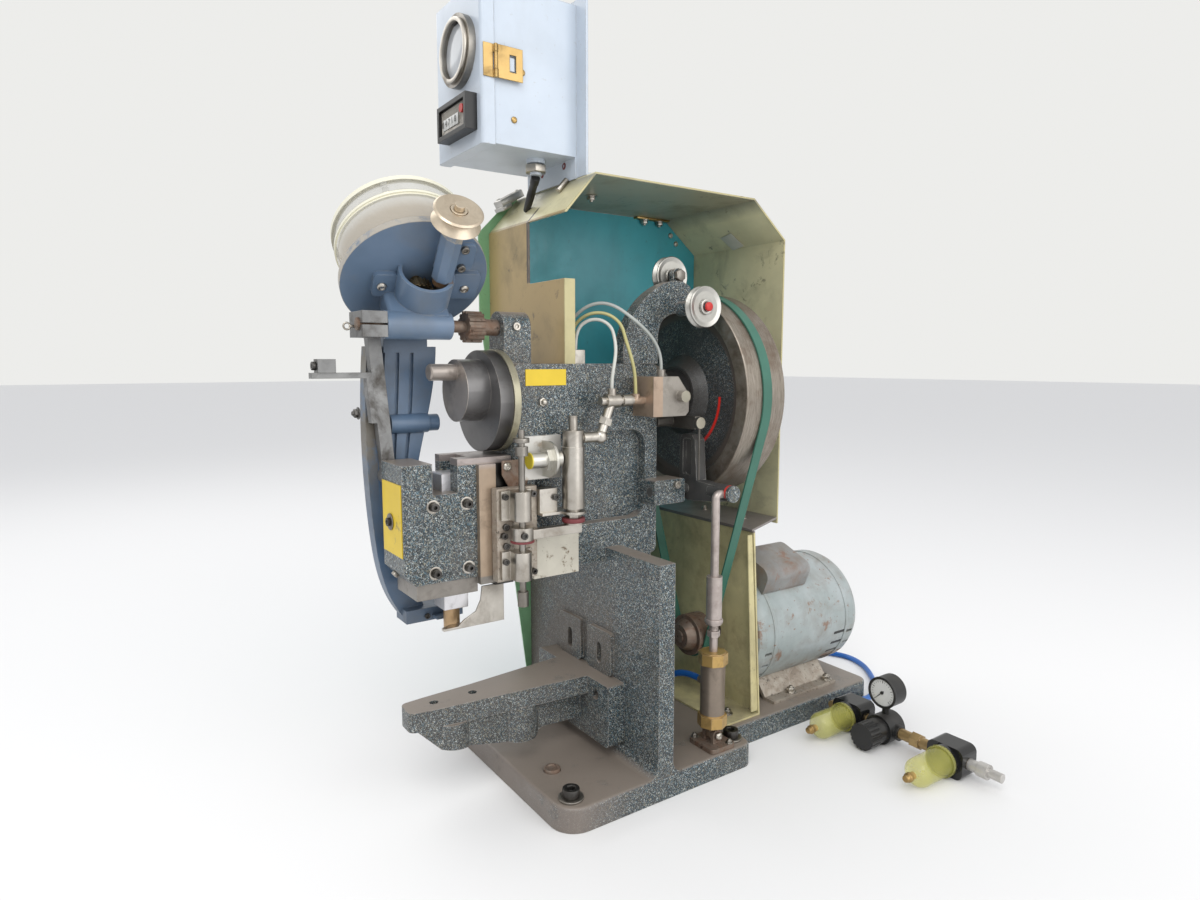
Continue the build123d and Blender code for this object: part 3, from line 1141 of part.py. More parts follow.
def hasp_leaf():
    """Fixed leaf of the hasp on the door's rim, with its two outer knuckles."""
    pin_x, pin_y = hasp_hinge()
    leaf = block(BOX_NEAR + 2, BOX_NEAR + 3.4, BOX_FRONT - DOOR_T + 2, pin_y, HASP_LOW, HASP_HIGH)
    for z0 in (HASP_LOW, HASP_HIGH - KNUCKLE):
        leaf += bar_z(pin_x, pin_y, 2.2, z0, z0 + KNUCKLE)
    leaf -= bar_z(pin_x, pin_y, 1 + FIT, HASP_LOW, HASP_HIGH)
    return leaf - block(BOX_NEAR, pin_x + 3, pin_y - 2.6, pin_y + 3, HASP_LOW + KNUCKLE, HASP_HIGH - KNUCKLE)


def hasp():
    """Brass hasp strap with its middle knuckle, pin and slot."""
    pin_x, pin_y = hasp_hinge()
    strap = block(pin_x - 0.8, pin_x + 0.8, pin_y + 2.6, BOX_FRONT + 32, HASP_LOW, HASP_HIGH)
    strap -= block(pin_x - 1, pin_x + 1, BOX_FRONT + 16, BOX_FRONT + 24, HASP_LOW + 8, HASP_HIGH - 8)
    low, high = HASP_LOW + KNUCKLE + 0.3, HASP_HIGH - KNUCKLE - 0.3
    strap += block(pin_x - 0.8, pin_x + 0.8, pin_y, pin_y + 3, low, high)
    strap += bar_z(pin_x, pin_y, 2.2, low, high)
    return strap + bar_z(pin_x, pin_y, 1, HASP_LOW, HASP_HIGH)


def bowl_unit(x):
    """Filter or lubricator lying on its side: square head, round bowl and drain."""
    head = Box(HEAD_L, 30, 2 * HEAD_R)
    head = fillet(head.edges().filter_by(Axis.Y), 9)
    bowl = Pos(0, -15 - BOWL_L / 2, 0) * Rot(90, 0, 0) * Cylinder(BOWL_R - 1, BOWL_L)
    bowl = fillet(bowl.faces().sort_by(Axis.Y)[0].edges(), 11)
    collar = Pos(0, -20, 0) * Rot(90, 0, 0) * Cylinder(BOWL_R + 1, 10)
    drain = Pos(0, -15 - BOWL_L - 5, 0) * Rot(90, 0, 0) * Cylinder(4.5, 12)
    return Pos(x, SET_Y, SET_Z) * (head + bowl + collar + drain)


def regulator():
    """Regulator lying on its side, with its gauge standing up from it."""
    body = Rot(90, 0, 0) * Cylinder(HEAD_R, 30) + Rot(0, 90, 0) * Cylinder(10, HEAD_L)
    body += Pos(0, -22, 0) * Rot(90, 0, 0) * Cylinder(HEAD_R - 3, 16)
    body += Pos(0, 0, HEAD_R + 3) * Cylinder(5, 16)
    body += Pos(0, 2, HEAD_R + 10 + GAUGE_R) * Rot(90, 0, 0) * Cylinder(GAUGE_R, 22)
    return Pos(REGULATOR_X, SET_Y, SET_Z) * body


def regulator_knob():
    """Ribbed knob on the regulator's end."""
    ring = Circle(KNOB_R)
    for turn in PolarLocations(KNOB_R, 18):
        ring -= turn * Circle(1.2)
    return Pos(REGULATOR_X, 0, SET_Z) * slab_y(ring, SET_Y - 50, SET_Y - 30 - GAP)


def supply_pipes():
    """Brass nipples between the three bodies, the hose barb and the plug-in coupling."""
    pipes = []
    half = HEAD_L / 2
    pipes.append(bar_x(SET_Y, SET_Z, PORT_R, REGULATOR_X + half, FILTER_X - half))
    middle = Plane(origin=((REGULATOR_X + FILTER_X) / 2 - 6, SET_Y, SET_Z), z_dir=(1, 0, 0))
    pipes[0] += extrude(middle * RegularPolygon(10, 6), amount=12)
    pipes.append(bar_x(SET_Y, SET_Z, PORT_R, LUBRICATOR_X + half, REGULATOR_X - half))
    barb_x = HOSE_POINTS[0][0]
    elbow = bar_x(SET_Y, SET_Z, HOSE_R + 2, barb_x, LUBRICATOR_X - half)
    elbow += bar_y(barb_x, SET_Z, HOSE_R + 2, SET_Y - 6, HOSE_POINTS[0][1])
    pipes.append(elbow)
    coupling = bar_x(SET_Y, SET_Z, PORT_R, FILTER_X + half, FILTER_X + half + 12)
    coupling += bar_x(SET_Y, SET_Z, 9, FILTER_X + half + 12, FILTER_X + half + 24)
    coupling += bar_x(SET_Y, SET_Z, 5.5, FILTER_X + half + 24, FILTER_X + half + 40)
    pipes.append(coupling)
    return Part() + pipes


def cord(points, r):
    """A round tube along straight runs that are joined by arcs, with its length printed."""
    route = FilletPolyline(*points, radius=cord_radii(points))
    section = Plane(origin=route @ 0, z_dir=route % 0) * Circle(r)
    tube = sweep(section, path=route)
    print("cord length", round(route.length, 1), "volume", round(tube.volume, 1))
    print("section times length", round(math.pi * r ** 2 * route.length, 1))
    return tube


def cord_radii(points):
    """The largest arc that each corner of a cord's route has room for."""
    radii = []
    for before, corner, after in zip(points, points[1:], points[2:]):
        run_in = Vector(*corner) - Vector(*before)
        run_out = Vector(*after) - Vector(*corner)
        shorter = min(run_in.length, run_out.length)
        half_turn = math.radians(run_in.get_angle(run_out)) / 2
        radii.append(0.45 * shorter / math.tan(half_turn))
    print("cord radii", [round(radius, 1) for radius in radii])
    return radii


def cap_screws():
    """Socket screw heads on the head, its plates and the column, all of one kind."""
    screws = []
    for y, z in HEAD_SCREWS:
        screws.append(screw_head(4.5).moved(Location((HEAD_NEAR, y, z), (0, 90, 0))))
    for y, z in SIDE_SCREWS:
        screws.append(screw_head(3.5).moved(Location((SIDE_X, y, z), (0, 90, 0))))
    return Part() + screws


def screw_head(r):
    """Socket head standing on its seat."""
    head = Pos(0, 0, r * 0.8) * Cylinder(r, 1.6 * r)
    return head - extrude(Pos(0, 0, 0.7 * r) * RegularPolygon(0.5 * r, 6), amount=r)


def build_all():
    """Every node by name."""
    return {
        "frame_casting": frame_casting(),
        "lower_arm": lower_arm(),
        "shaft_bushes": shaft_bushes(),
        "crankshaft": crankshaft(),
        "flywheel": flywheel(),
        "drive_belt": drive_belt(),
        "motor_rotor": motor_rotor(),
        "motor_shell": motor_shell(),
        "motor_bells": Part() + [motor_bell(1), motor_bell(-1)],
        "capacitor_cover": capacitor_cover(),
        "motor_cradle": motor_cradle(),
        "guard_shell": guard_shell(),
        "guard_back_panel": guard_back_panel(),
        "side_post": side_post(),
        "lower_guard": lower_guard(),
        "idler_bracket": idler_bracket(),
        "idler_pulley_far": idler_pulley(IDLER_FAR),
        "idler_pulley_near": idler_pulley(IDLER_NEAR),
        "head_housing": head_housing(),
        "head_bracket": head_bracket(),
        "head_plates": head_plates(),
        "ram": ram(),
        "bare_plates": bare_plates(),
        "holding_strap": holding_strap(),
        "slide_plate": slide_plate(),
        "bearing_blocks": bearing_blocks(),
        "cylinder_bracket": cylinder_bracket(),
        "spotter_cylinder": spotter_cylinder(),
        "spotter_rod": spotter_rod(),
        "spotter_link": spotter_link(),
        "sensor_mount": sensor_mount(),
        "air_fittings": air_fittings(),
        "clutch_valve": clutch_valve(),
        "clutch_lever": clutch_lever(),
        "pull_rod": pull_rod(),
        "clutch_cylinder": clutch_cylinder(),
        "cylinder_foot": cylinder_foot(),
        "hopper_shaft": hopper_shaft(),
        "hopper_casting": hopper_casting(),
        "hopper_drum": hopper_drum(),
        "agitator": agitator(),
        "hopper_pulley": hopper_pulley(),
        "raceway": raceway(),
        "feed_lever": feed_lever(),
        "feed_bracket": feed_bracket(),
        "box_body": box_body(),
        "box_door": box_door(),
        "box_window": box_window(),
        "counter": counter(),
        "counter_button": counter_button(),
        "hasp": hasp(),
        "hasp_leaf": hasp_leaf(),
        "air_bowls": Part() + [bowl_unit(LUBRICATOR_X), bowl_unit(FILTER_X)],
        "regulator": regulator(),
        "regulator_knob": regulator_knob(),
        "supply_pipes": supply_pipes(),
        "air_hose": cord(HOSE_POINTS, HOSE_R),
        "thin_tubes": Part() + [cord(points, THIN_R) for points in (WHITE_TUBE, YELLOW_TUBE, GREY_TUBE)],
        "cap_screws": cap_screws(),
    }


os.makedirs("parts", exist_ok=True)
for node, solid in build_all().items():
    export_step(solid, f"parts/{node}.step")
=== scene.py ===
"""Looks of the eyelet punch press: its finishes, small fittings, tubes, floor, light and camera."""
import math

import bmesh
import bpy
from mathutils import Matrix, Quaternion, Vector

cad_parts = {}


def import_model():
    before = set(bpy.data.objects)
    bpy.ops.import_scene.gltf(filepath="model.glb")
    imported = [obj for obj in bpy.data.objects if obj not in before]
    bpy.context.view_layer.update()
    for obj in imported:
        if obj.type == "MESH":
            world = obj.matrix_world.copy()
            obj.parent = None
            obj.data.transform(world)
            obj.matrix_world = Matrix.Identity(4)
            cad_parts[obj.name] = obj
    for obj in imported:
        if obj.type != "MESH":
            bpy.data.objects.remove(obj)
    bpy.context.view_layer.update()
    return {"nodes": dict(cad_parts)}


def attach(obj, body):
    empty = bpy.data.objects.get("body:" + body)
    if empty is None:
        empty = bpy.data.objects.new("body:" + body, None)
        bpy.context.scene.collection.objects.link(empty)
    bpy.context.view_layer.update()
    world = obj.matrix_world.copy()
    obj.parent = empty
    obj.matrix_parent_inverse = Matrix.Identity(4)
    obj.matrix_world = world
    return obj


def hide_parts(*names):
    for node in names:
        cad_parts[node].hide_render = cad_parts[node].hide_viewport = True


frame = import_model()
nodes = frame["nodes"]
MM = 0.001

# Routes of the blue hose and the three thin air tubes, in metres
HOSE = (
    (0.118, 0.331, 0.019), (0.118, 0.347, 0.019), (0.116, 0.373, 0.010), (0.113, 0.401, 0.0043),
    (0.105, 0.428, 0.0043), (0.088, 0.453, 0.0043), (0.061, 0.480, 0.0043), (0.030, 0.503, 0.0043),
    (-0.005, 0.513, 0.0043), (-0.038, 0.500, 0.0043), (-0.067, 0.471, 0.0043), (-0.093, 0.441, 0.0043),
    (-0.112, 0.405, 0.0043), (-0.117, 0.360, 0.0043), (-0.115, 0.312, 0.0043), (-0.117, 0.262, 0.0043),
    (-0.116, 0.214, 0.006), (-0.115, 0.179, 0.017), (-0.111, 0.152, 0.034), (-0.098, 0.126, 0.040),
    (-0.076, 0.104, 0.033), (-0.047, 0.092, 0.033), (-0.016, 0.084, 0.040), (0.010, 0.082, 0.060),
    (0.034, 0.082, 0.084), (0.056, 0.084, 0.100), (0.078, 0.088, 0.104), (0.095, 0.088, 0.104),
)
HOSE_R = 0.004
WHITE_TUBE = (
    (0.066, -0.0265, 0.465), (0.066, -0.0265, 0.476), (0.064, -0.022, 0.491), (0.058, -0.015, 0.507),
    (0.050, -0.011, 0.522), (0.047, -0.014, 0.536), (0.0385, -0.0225, 0.544), (0.0285, -0.0325, 0.544),
    (0.020, -0.041, 0.536), (0.017, -0.044, 0.522), (0.017, -0.044, 0.509),
)
STRAW_TUBE = (
    (0.060, 0.012, 0.458), (0.060, 0.012, 0.469), (0.060, 0.010, 0.486), (0.058, 0.006, 0.503),
    (0.054, 0.002, 0.520), (0.050, -0.002, 0.540), (0.038, -0.014, 0.552), (0.023, -0.029, 0.552),
    (0.011, -0.041, 0.540), (0.007, -0.046, 0.521), (0.007, -0.046, 0.509),
)
GREY_TUBE = (
    (0.060, 0.050, 0.486), (0.060, 0.050, 0.497), (0.060, 0.045, 0.512), (0.060, 0.034, 0.526),
    (0.058, 0.020, 0.538), (0.054, 0.006, 0.549), (0.046, -0.006, 0.559), (0.034, -0.017, 0.564),
    (0.020, -0.028, 0.561), (0.008, -0.038, 0.550), (0.000, -0.045, 0.535), (-0.003, -0.046, 0.520),
    (-0.003, -0.046, 0.509),
)
THIN_R = 0.002

# The hopper leans: the drum's axis, the worm shaft's direction, the way across both, the middle of
# the disc in millimetres, and the place of the drum's seam in degrees round its axis
DRUM_AXIS = Vector((-0.6579, 0.0421, 0.7519))
WORM_AXIS = Vector((0.746, -0.1001, 0.6584))
ACROSS = DRUM_AXIS.cross(WORM_AXIS)
DISC_CENTRE = Vector((-7, -228, 580.5))
SEAM_ANGLE = 337

# Middle of the flywheel in metres, of the motor's end and of the air gauge's dial in millimetres
WHEEL_CENTRE = (0, 0.156, 0.452)
MOTOR_X, MOTOR_Z = 5, 122
GAUGE_CENTRE = Vector((200, 310.8, 68))

# Ways that small pieces face, and the body, finish and slot of most of them
NEAR = (1, 0, 0)
FRONT = (0, -1, 0)
REAR = (0, 1, 0)
UP = (0, 0, 1)
BRIGHT = ("frame", "bright", "bright_steel")
DULL = ("frame", "dull", "dark_steel")
DARK = ("frame", "dark", "dark_steel")
RUSTY = ("frame", "rust", "rusty_steel")
BLACK = ("frame", "black", "black_plastic")


def camera_and_light():
    """Camera at the photograph's place, and three soft lamps."""
    data = bpy.data.cameras.new("camera")
    data.sensor_width = 36
    data.lens = 23.1
    data.clip_start = 0.02
    camera = bpy.data.objects.new("camera", data)
    camera.location = (0.782, -0.535, 0.495)
    camera.rotation_euler = (math.radians(83.48), 0, math.radians(55.5))
    bpy.context.scene.collection.objects.link(camera)
    bpy.context.scene.camera = camera
    lamps = (
        ("key", (1.6, -1.4, 2.4), 2.0, 34),
        ("fill", (2.4, 0.6, 1.2), 2.4, 26),
        ("rim", (-1.8, -0.6, 2.2), 1.8, 14),
    )
    for name, place, size, power in lamps:
        lamp = bpy.data.lights.new(name, "AREA")
        lamp.shape = "DISK"
        lamp.size = size
        lamp.energy = power
        light = bpy.data.objects.new(name, lamp)
        light.location = place
        aim = Vector((0, 0, 0.35)) - Vector(place)
        light.rotation_euler = aim.to_track_quat("-Z", "Y").to_euler()
        bpy.context.scene.collection.objects.link(light)


def world():
    """Even pale surroundings, white to the camera, in reflections and through clear plastic."""
    surroundings = bpy.data.worlds.new("studio")
    bpy.context.scene.world = surroundings
    surroundings.use_nodes = True
    tree = surroundings.node_tree
    tree.nodes.clear()
    soft = tree.nodes.new("ShaderNodeBackground")
    soft.inputs["Color"].default_value = (0.93, 0.95, 1.0, 1)
    soft.inputs["Strength"].default_value = 0.9
    white = tree.nodes.new("ShaderNodeBackground")
    white.inputs["Color"].default_value = (0.92, 0.92, 0.90, 1)
    white.inputs["Strength"].default_value = 0.92
    path = tree.nodes.new("ShaderNodeLightPath")
    seen = path.outputs["Is Camera Ray"]
    for ray in ("Is Glossy Ray", "Is Transmission Ray"):
        either = tree.nodes.new("ShaderNodeMath")
        either.operation = "MAXIMUM"
        tree.links.new(seen, either.inputs[0])
        tree.links.new(path.outputs[ray], either.inputs[1])
        seen = either.outputs[0]
    mix = tree.nodes.new("ShaderNodeMixShader")
    out = tree.nodes.new("ShaderNodeOutputWorld")
    tree.links.new(seen, mix.inputs[0])
    tree.links.new(soft.outputs[0], mix.inputs[1])
    tree.links.new(white.outputs[0], mix.inputs[2])
    tree.links.new(mix.outputs[0], out.inputs["Surface"])


class Finish:
    """A procedural material, with short calls for the nodes that every finish needs."""

    def __init__(self, name, metallic=0.0, roughness=0.5):
        self.material = bpy.data.materials.new(name)
        self.material.use_nodes = True
        self.tree = self.material.node_tree
        self.shader = self.tree.nodes["Principled BSDF"]
        self.feed(self.shader, {"Metallic": metallic, "Roughness": roughness})
        self.place = self.node("ShaderNodeTexCoord", {}).outputs["Object"]

    def node(self, kind, inputs, **settings):
        """A new node with its settings made and its inputs fed."""
        node = self.tree.nodes.new(kind)
        for name, value in settings.items():
            setattr(node, name, value)
        self.feed(node, inputs)
        return node

    def feed(self, node, inputs):
        """Link each input to a socket, or set it to a number, a vector or a colour."""
        for name, source in inputs.items():
            target = node.inputs[name]
            if isinstance(source, bpy.types.NodeSocket):
                self.tree.links.new(source, target)
            elif target.type == "RGBA":
                target.default_value = (*source, 1)
            else:
                target.default_value = source

    def noise(self, scale, detail=3.0, rough=0.55, distortion=0.0, vector=None):
        return self.node("ShaderNodeTexNoise", {
            "Vector": vector or self.place, "Scale": scale, "Detail": detail,
            "Roughness": rough, "Distortion": distortion}).outputs["Fac"]

    def stretched(self, scale):
        """The place with each axis scaled, for lines and streaks."""
        return self.node("ShaderNodeMapping", {"Vector": self.place, "Scale": scale}).outputs["Vector"]

    def ramp(self, fac, *stops):
        """Colours along a value: each stop is a value and its colour."""
        node = self.node("ShaderNodeValToRGB", {"Fac": fac})
        points = node.color_ramp.elements
        points[0].position, points[0].color = stops[0][0], (*stops[0][1], 1)
        points[1].position, points[1].color = stops[-1][0], (*stops[-1][1], 1)
        for place, colour in stops[1:-1]:
            points.new(place).color = (*colour, 1)
        return node.outputs["Color"]

    def tone(self, dark, light, spread, *grain):
        """Uneven ground between two colours, over a spread about the middle of a noise."""
        return self.ramp(self.noise(*grain), (0.5 - spread, dark), (0.5 + spread, light))

    def mask(self, fac, low, high):
        """Mask that rises from nought at low to one at high."""
        inputs = {"Value": fac, "From Min": low, "From Max": high}
        return self.node("ShaderNodeMapRange", inputs).outputs["Result"]

    def spots(self, low, high, *grain):
        """Mask of a noise's spots, cut between two of its levels."""
        return self.mask(self.noise(*grain), low, high)

    def math(self, operation, first, second, clamp=True):
        inputs = {0: first, 1: second}
        return self.node("ShaderNodeMath", inputs, operation=operation, use_clamp=clamp).outputs[0]

    def both(self, *masks):
        result = masks[0]
        for other in masks[1:]:
            result = self.math("MULTIPLY", result, other)
        return result

    def vector(self, operation, first, second=(0, 0, 0)):
        node = self.node("ShaderNodeVectorMath", {0: first, 1: second}, operation=operation)
        return node.outputs["Value" if operation in ("DOT_PRODUCT", "LENGTH") else "Vector"]

    def mix(self, fac, first, second):
        """The first colour, and the second where the mask is."""
        return self.node("ShaderNodeMix", {0: fac, 6: first, 7: second}, data_type="RGBA").outputs[2]

    def wash(self, body, where, amount, colour):
        """Lay a colour over the body where a mask is, by a part of its strength."""
        return self.mix(self.math("MULTIPLY", where, amount), body, colour)

    def normal(self):
        return self.node("ShaderNodeNewGeometry", {}).outputs["Normal"]

    def softened(self, radius):
        """The normal, rounded over the edges."""
        return self.node("ShaderNodeBevel", {"Radius": radius}, samples=4).outputs[0]

    def component(self, vector, axis):
        return self.node("ShaderNodeSeparateXYZ", {0: vector}).outputs[axis]

    def facing_up(self, low, high):
        return self.mask(self.component(self.normal(), "Z"), low, high)

    def facing(self, direction):
        """How squarely a face looks in a direction."""
        return self.vector("DOT_PRODUCT", self.normal(), direction)

    def beyond(self, axis, low, high):
        """Mask that rises from nought at low to one at high, along X, Y or Z, in metres."""
        return self.mask(self.component(self.place, axis), low, high)

    def radius(self, centre):
        """Distance from an axis that runs along Y through a centre."""
        moved = self.vector("SUBTRACT", self.place, centre)
        return self.vector("LENGTH", self.vector("MULTIPLY", moved, (1, 0, 1)))

    def reach(self, centre, direction):
        """Distance from an axis that runs in a direction through a centre."""
        moved = self.vector("SUBTRACT", self.place, centre)
        return self.vector("LENGTH", self.vector("CROSS_PRODUCT", moved, direction.normalized()))

    def along(self, centre, direction):
        """Signed distance from a centre along a direction."""
        return self.vector("DOT_PRODUCT", self.vector("SUBTRACT", self.place, centre), direction)

    def within(self, value, half):
        """Mask of the values no further than a half width from nought."""
        soft = 0.0008
        return self.mask(self.math("ABSOLUTE", value, 0.0, clamp=False), half + soft, half - soft)

    def edges(self, radius=0.0016):
        """Mask of the sharp edges."""
        flat = self.vector("DOT_PRODUCT", self.softened(radius), self.normal())
        return self.mask(self.math("SUBTRACT", 1.0, flat), 0.02, 0.16)

    def worn_edges(self):
        """Mask of the edges that are rubbed bare here and there."""
        return self.both(self.edges(0.0012), self.spots(0.42, 0.6, 90, 4.0))

    def rough(self, fac, low, high):
        self.span(fac, "Roughness", low, high)

    def span(self, fac, socket, low, high):
        """Let one of the shader's sockets run from low to high with a mask."""
        level = self.node("ShaderNodeMapRange", {"Value": fac, "To Min": low, "To Max": high})
        self.feed(self.shader, {socket: level.outputs["Result"]})

    def finished(self, body, height, distance, strength, rounded=0.0):
        """Join the colour and the fine relief to the shader, and give the material."""
        relief = {"Height": height, "Distance": distance, "Strength": strength}
        if rounded:
            relief["Normal"] = self.softened(rounded)
        bump = self.node("ShaderNodeBump", relief).outputs[0]
        self.feed(self.shader, {"Base Color": body, "Normal": bump})
        return self.material


def flecked(paint, dark=(0.01, 0.016, 0.02)):
    """Near-black ground with fine teal, pale and straw-coloured flecks."""
    ground = paint.ramp(paint.noise(9, 4.0), (0.35, dark), (0.7, (0.02, 0.026, 0.032)))
    teal = paint.spots(0.54, 0.6, 500, 2.0, 0.6, 0.5)
    body = paint.mix(teal, ground, (0.035, 0.085, 0.115))
    straw = paint.spots(0.6, 0.64, 640, 2.0, 0.5, 1.4)
    body = paint.mix(straw, body, (0.33, 0.3, 0.21))
    pale = paint.spots(0.6, 0.635, 580, 2.0, 0.5, 1.8)
    return paint.mix(pale, body, (0.5, 0.54, 0.53))


def speckled_enamel(name="speckled_enamel", dirt=0.75):
    """Speckled enamel, oily and brown in its hollows and low down, dusty on top, bare at its edges."""
    paint = Finish(name, roughness=0.4)
    body = flecked(paint)
    film = paint.spots(0.5, 0.76, 7, 7.0, 0.62)
    inner = paint.both(paint.beyond("X", 0.07, 0.05), paint.beyond("Z", 0.25, 0.16),
                       paint.beyond("Y", 0.0, -0.01))
    blotches = paint.both(inner, paint.spots(0.3, 0.55, 12, 6.0, 0.6))
    grime = paint.math("MULTIPLY", paint.math("ADD", film, blotches), dirt)
    body = paint.mix(grime, body, (0.11, 0.092, 0.075))
    skirt = paint.both(paint.beyond("Y", -0.055, -0.12), paint.beyond("Z", 0.04, 0.03),
                       paint.spots(0.16, 0.44, 40, 6.0, 0.7))
    body = paint.wash(body, skirt, 0.88, (0.185, 0.155, 0.132))
    dust = paint.both(paint.facing_up(0.55, 0.98), paint.spots(0.16, 0.44, 30, 6.0, 0.7))
    body = paint.mix(dust, body, (0.215, 0.18, 0.148))
    worn = paint.both(paint.edges(), paint.spots(0.38, 0.6, 70, 4.0))
    body = paint.mix(worn, body, (0.34, 0.31, 0.27))
    paint.rough(grime, 0.32, 0.62)
    return paint.finished(body, paint.noise(700, 2.0), 0.00022, 0.5, rounded=0.0012)


def flywheel_finish():
    """Speckled dish inside a brown bevel and a browned, brushed steel rim, with one red paint mark."""
    wheel = Finish("flywheel_finish")
    out = wheel.radius(WHEEL_CENTRE)
    dish = flecked(wheel, (0.008, 0.011, 0.014))
    film = wheel.spots(0.24, 0.6, 16, 6.0, 0.6)
    dish = wheel.wash(dish, film, 0.85, (0.034, 0.031, 0.03))
    hub = wheel.mask(out, 0.054, 0.05)
    dish = wheel.wash(dish, hub, 0.8, (0.05, 0.046, 0.042))
    bevel = wheel.mask(out, 0.096, 0.1)
    body = wheel.mix(bevel, dish, (0.07, 0.056, 0.046))
    rim = wheel.mask(out, 0.1115, 0.1125)
    lines = wheel.noise(60, 6.0, 0.7, vector=wheel.stretched((1, 14, 1)))
    steel = wheel.ramp(lines, (0.3, (0.17, 0.14, 0.112)), (0.5, (0.28, 0.245, 0.205)),
                       (0.72, (0.36, 0.325, 0.28)))
    stain = wheel.spots(0.5, 0.66, 18, 7.0, 0.68)
    steel = wheel.wash(steel, stain, 0.6, (0.12, 0.07, 0.04))
    body = wheel.mix(rim, body, steel)
    mark_radius = 0.0725
    arc = wheel.within(wheel.math("SUBTRACT", out, mark_radius, clamp=False), 0.002)
    span = wheel.both(wheel.beyond("X", 0.04, 0.041), wheel.beyond("Z", 0.452, 0.4512))
    front = wheel.beyond("Y", 0.142, 0.138)
    body = wheel.mix(wheel.both(arc, span, front), body, (0.7, 0.025, 0.015))
    wheel.span(rim, "Metallic", 0.0, 0.85)
    wheel.rough(wheel.noise(40, 5.0), 0.3, 0.52)
    return wheel.finished(body, lines, 0.0001, 0.3, rounded=0.001)


def enamel(name, light, dark, grime, amount, roughness=(0.32, 0.55), rust=None, scale=8, strip=None):
    """Plain machine enamel, uneven in tone, grimy in patches and worn at its edges."""
    paint = Finish(name)
    tone = paint.tone(dark, light, 0.16, scale, 4.0, 0.6)
    patches = paint.spots(0.48, 0.78, scale * 1.9, 7.0, 0.65, 0.4)
    body = paint.wash(tone, patches, amount, grime)
    specks = paint.spots(0.66, 0.74, 150, 3.0, 0.6)
    body = paint.wash(body, specks, 0.45, grime)
    streaks = paint.mask(paint.noise(26, 5.0, 0.6, vector=paint.stretched((1, 1, 0.18))), 0.56, 0.72)
    body = paint.wash(body, streaks, amount * 0.6, grime)
    dust = paint.both(paint.facing_up(0.6, 1.0), paint.spots(0.35, 0.65, 36, 5.0))
    body = paint.wash(body, dust, 0.5, (0.2, 0.17, 0.13))
    if rust:
        blooms = paint.spots(0.585, 0.64, 22, 9.0, 0.7, 0.2)
        specks = paint.spots(0.64, 0.68, 110, 5.0, 0.7)
        both = paint.math("MAXIMUM", blooms, specks)
        body = paint.wash(body, both, rust, (0.215, 0.12, 0.075))
    if strip:
        axis, low, high, colour = strip
        body = paint.mix(paint.beyond(axis, low, high), body, colour)
    body = paint.wash(body, paint.worn_edges(), 0.8, (0.32, 0.3, 0.25))
    paint.rough(patches, *roughness)
    return paint.finished(body, paint.noise(420, 3.0), 0.00015, 0.35, rounded=0.001)


def hopper_blue():
    """Blue enamel of the hopper casting, with the bronze bush at the post's foot left bare."""
    paint = Finish("hopper_blue")
    tone = paint.tone((0.1, 0.15, 0.22), (0.145, 0.205, 0.295), 0.16, 9, 4.0, 0.6)
    film = paint.spots(0.48, 0.76, 20, 7.0, 0.65, 0.4)
    body = paint.wash(tone, film, 0.45, (0.16, 0.165, 0.165))
    rim = paint.mask(paint.reach(DISC_CENTRE * MM, DRUM_AXIS), 0.0764, 0.0768)
    scuffed = paint.both(rim, paint.spots(0.36, 0.5, 50, 6.0, 0.7))
    body = paint.mix(scuffed, body, (0.36, 0.33, 0.28))
    worm_at = (DISC_CENTRE + 21 * ACROSS - 16 * DRUM_AXIS) * MM
    foot = paint.within(paint.along(worm_at + 16 * MM * WORM_AXIS, WORM_AXIS), 0.0043)
    near = paint.within(paint.along(worm_at, ACROSS), 0.01)
    deep = paint.within(paint.along(worm_at, DRUM_AXIS), 0.01)
    body = paint.mix(paint.both(foot, near, deep), body, (0.18, 0.105, 0.055))
    body = paint.wash(body, paint.worn_edges(), 0.7, (0.26, 0.27, 0.26))
    paint.rough(film, 0.32, 0.55)
    return paint.finished(body, paint.noise(420, 3.0), 0.00018, 0.4, rounded=0.001)


def race_blue():
    """Blue enamel of the raceway, greasy and bare along the front rail's upper half."""
    paint = Finish("race_blue")
    tone = paint.tone((0.06, 0.1, 0.16), (0.095, 0.15, 0.23), 0.16, 10, 4.0, 0.6)
    film = paint.spots(0.46, 0.74, 18, 7.0, 0.65, 0.4)
    body = paint.wash(tone, film, 0.45, (0.11, 0.11, 0.105))
    rail = paint.both(paint.beyond("Z", 0.33, 0.4), paint.spots(0.4, 0.54, 30, 7.0, 0.7))
    front = paint.both(rail, paint.beyond("X", -0.03, -0.034), paint.beyond("Y", -0.2615, -0.2625))
    body = paint.wash(body, front, 0.85, (0.125, 0.102, 0.066))
    body = paint.wash(body, paint.worn_edges(), 0.8, (0.3, 0.31, 0.3))
    paint.rough(film, 0.32, 0.55)
    return paint.finished(body, paint.noise(420, 3.0), 0.00018, 0.4, rounded=0.001)


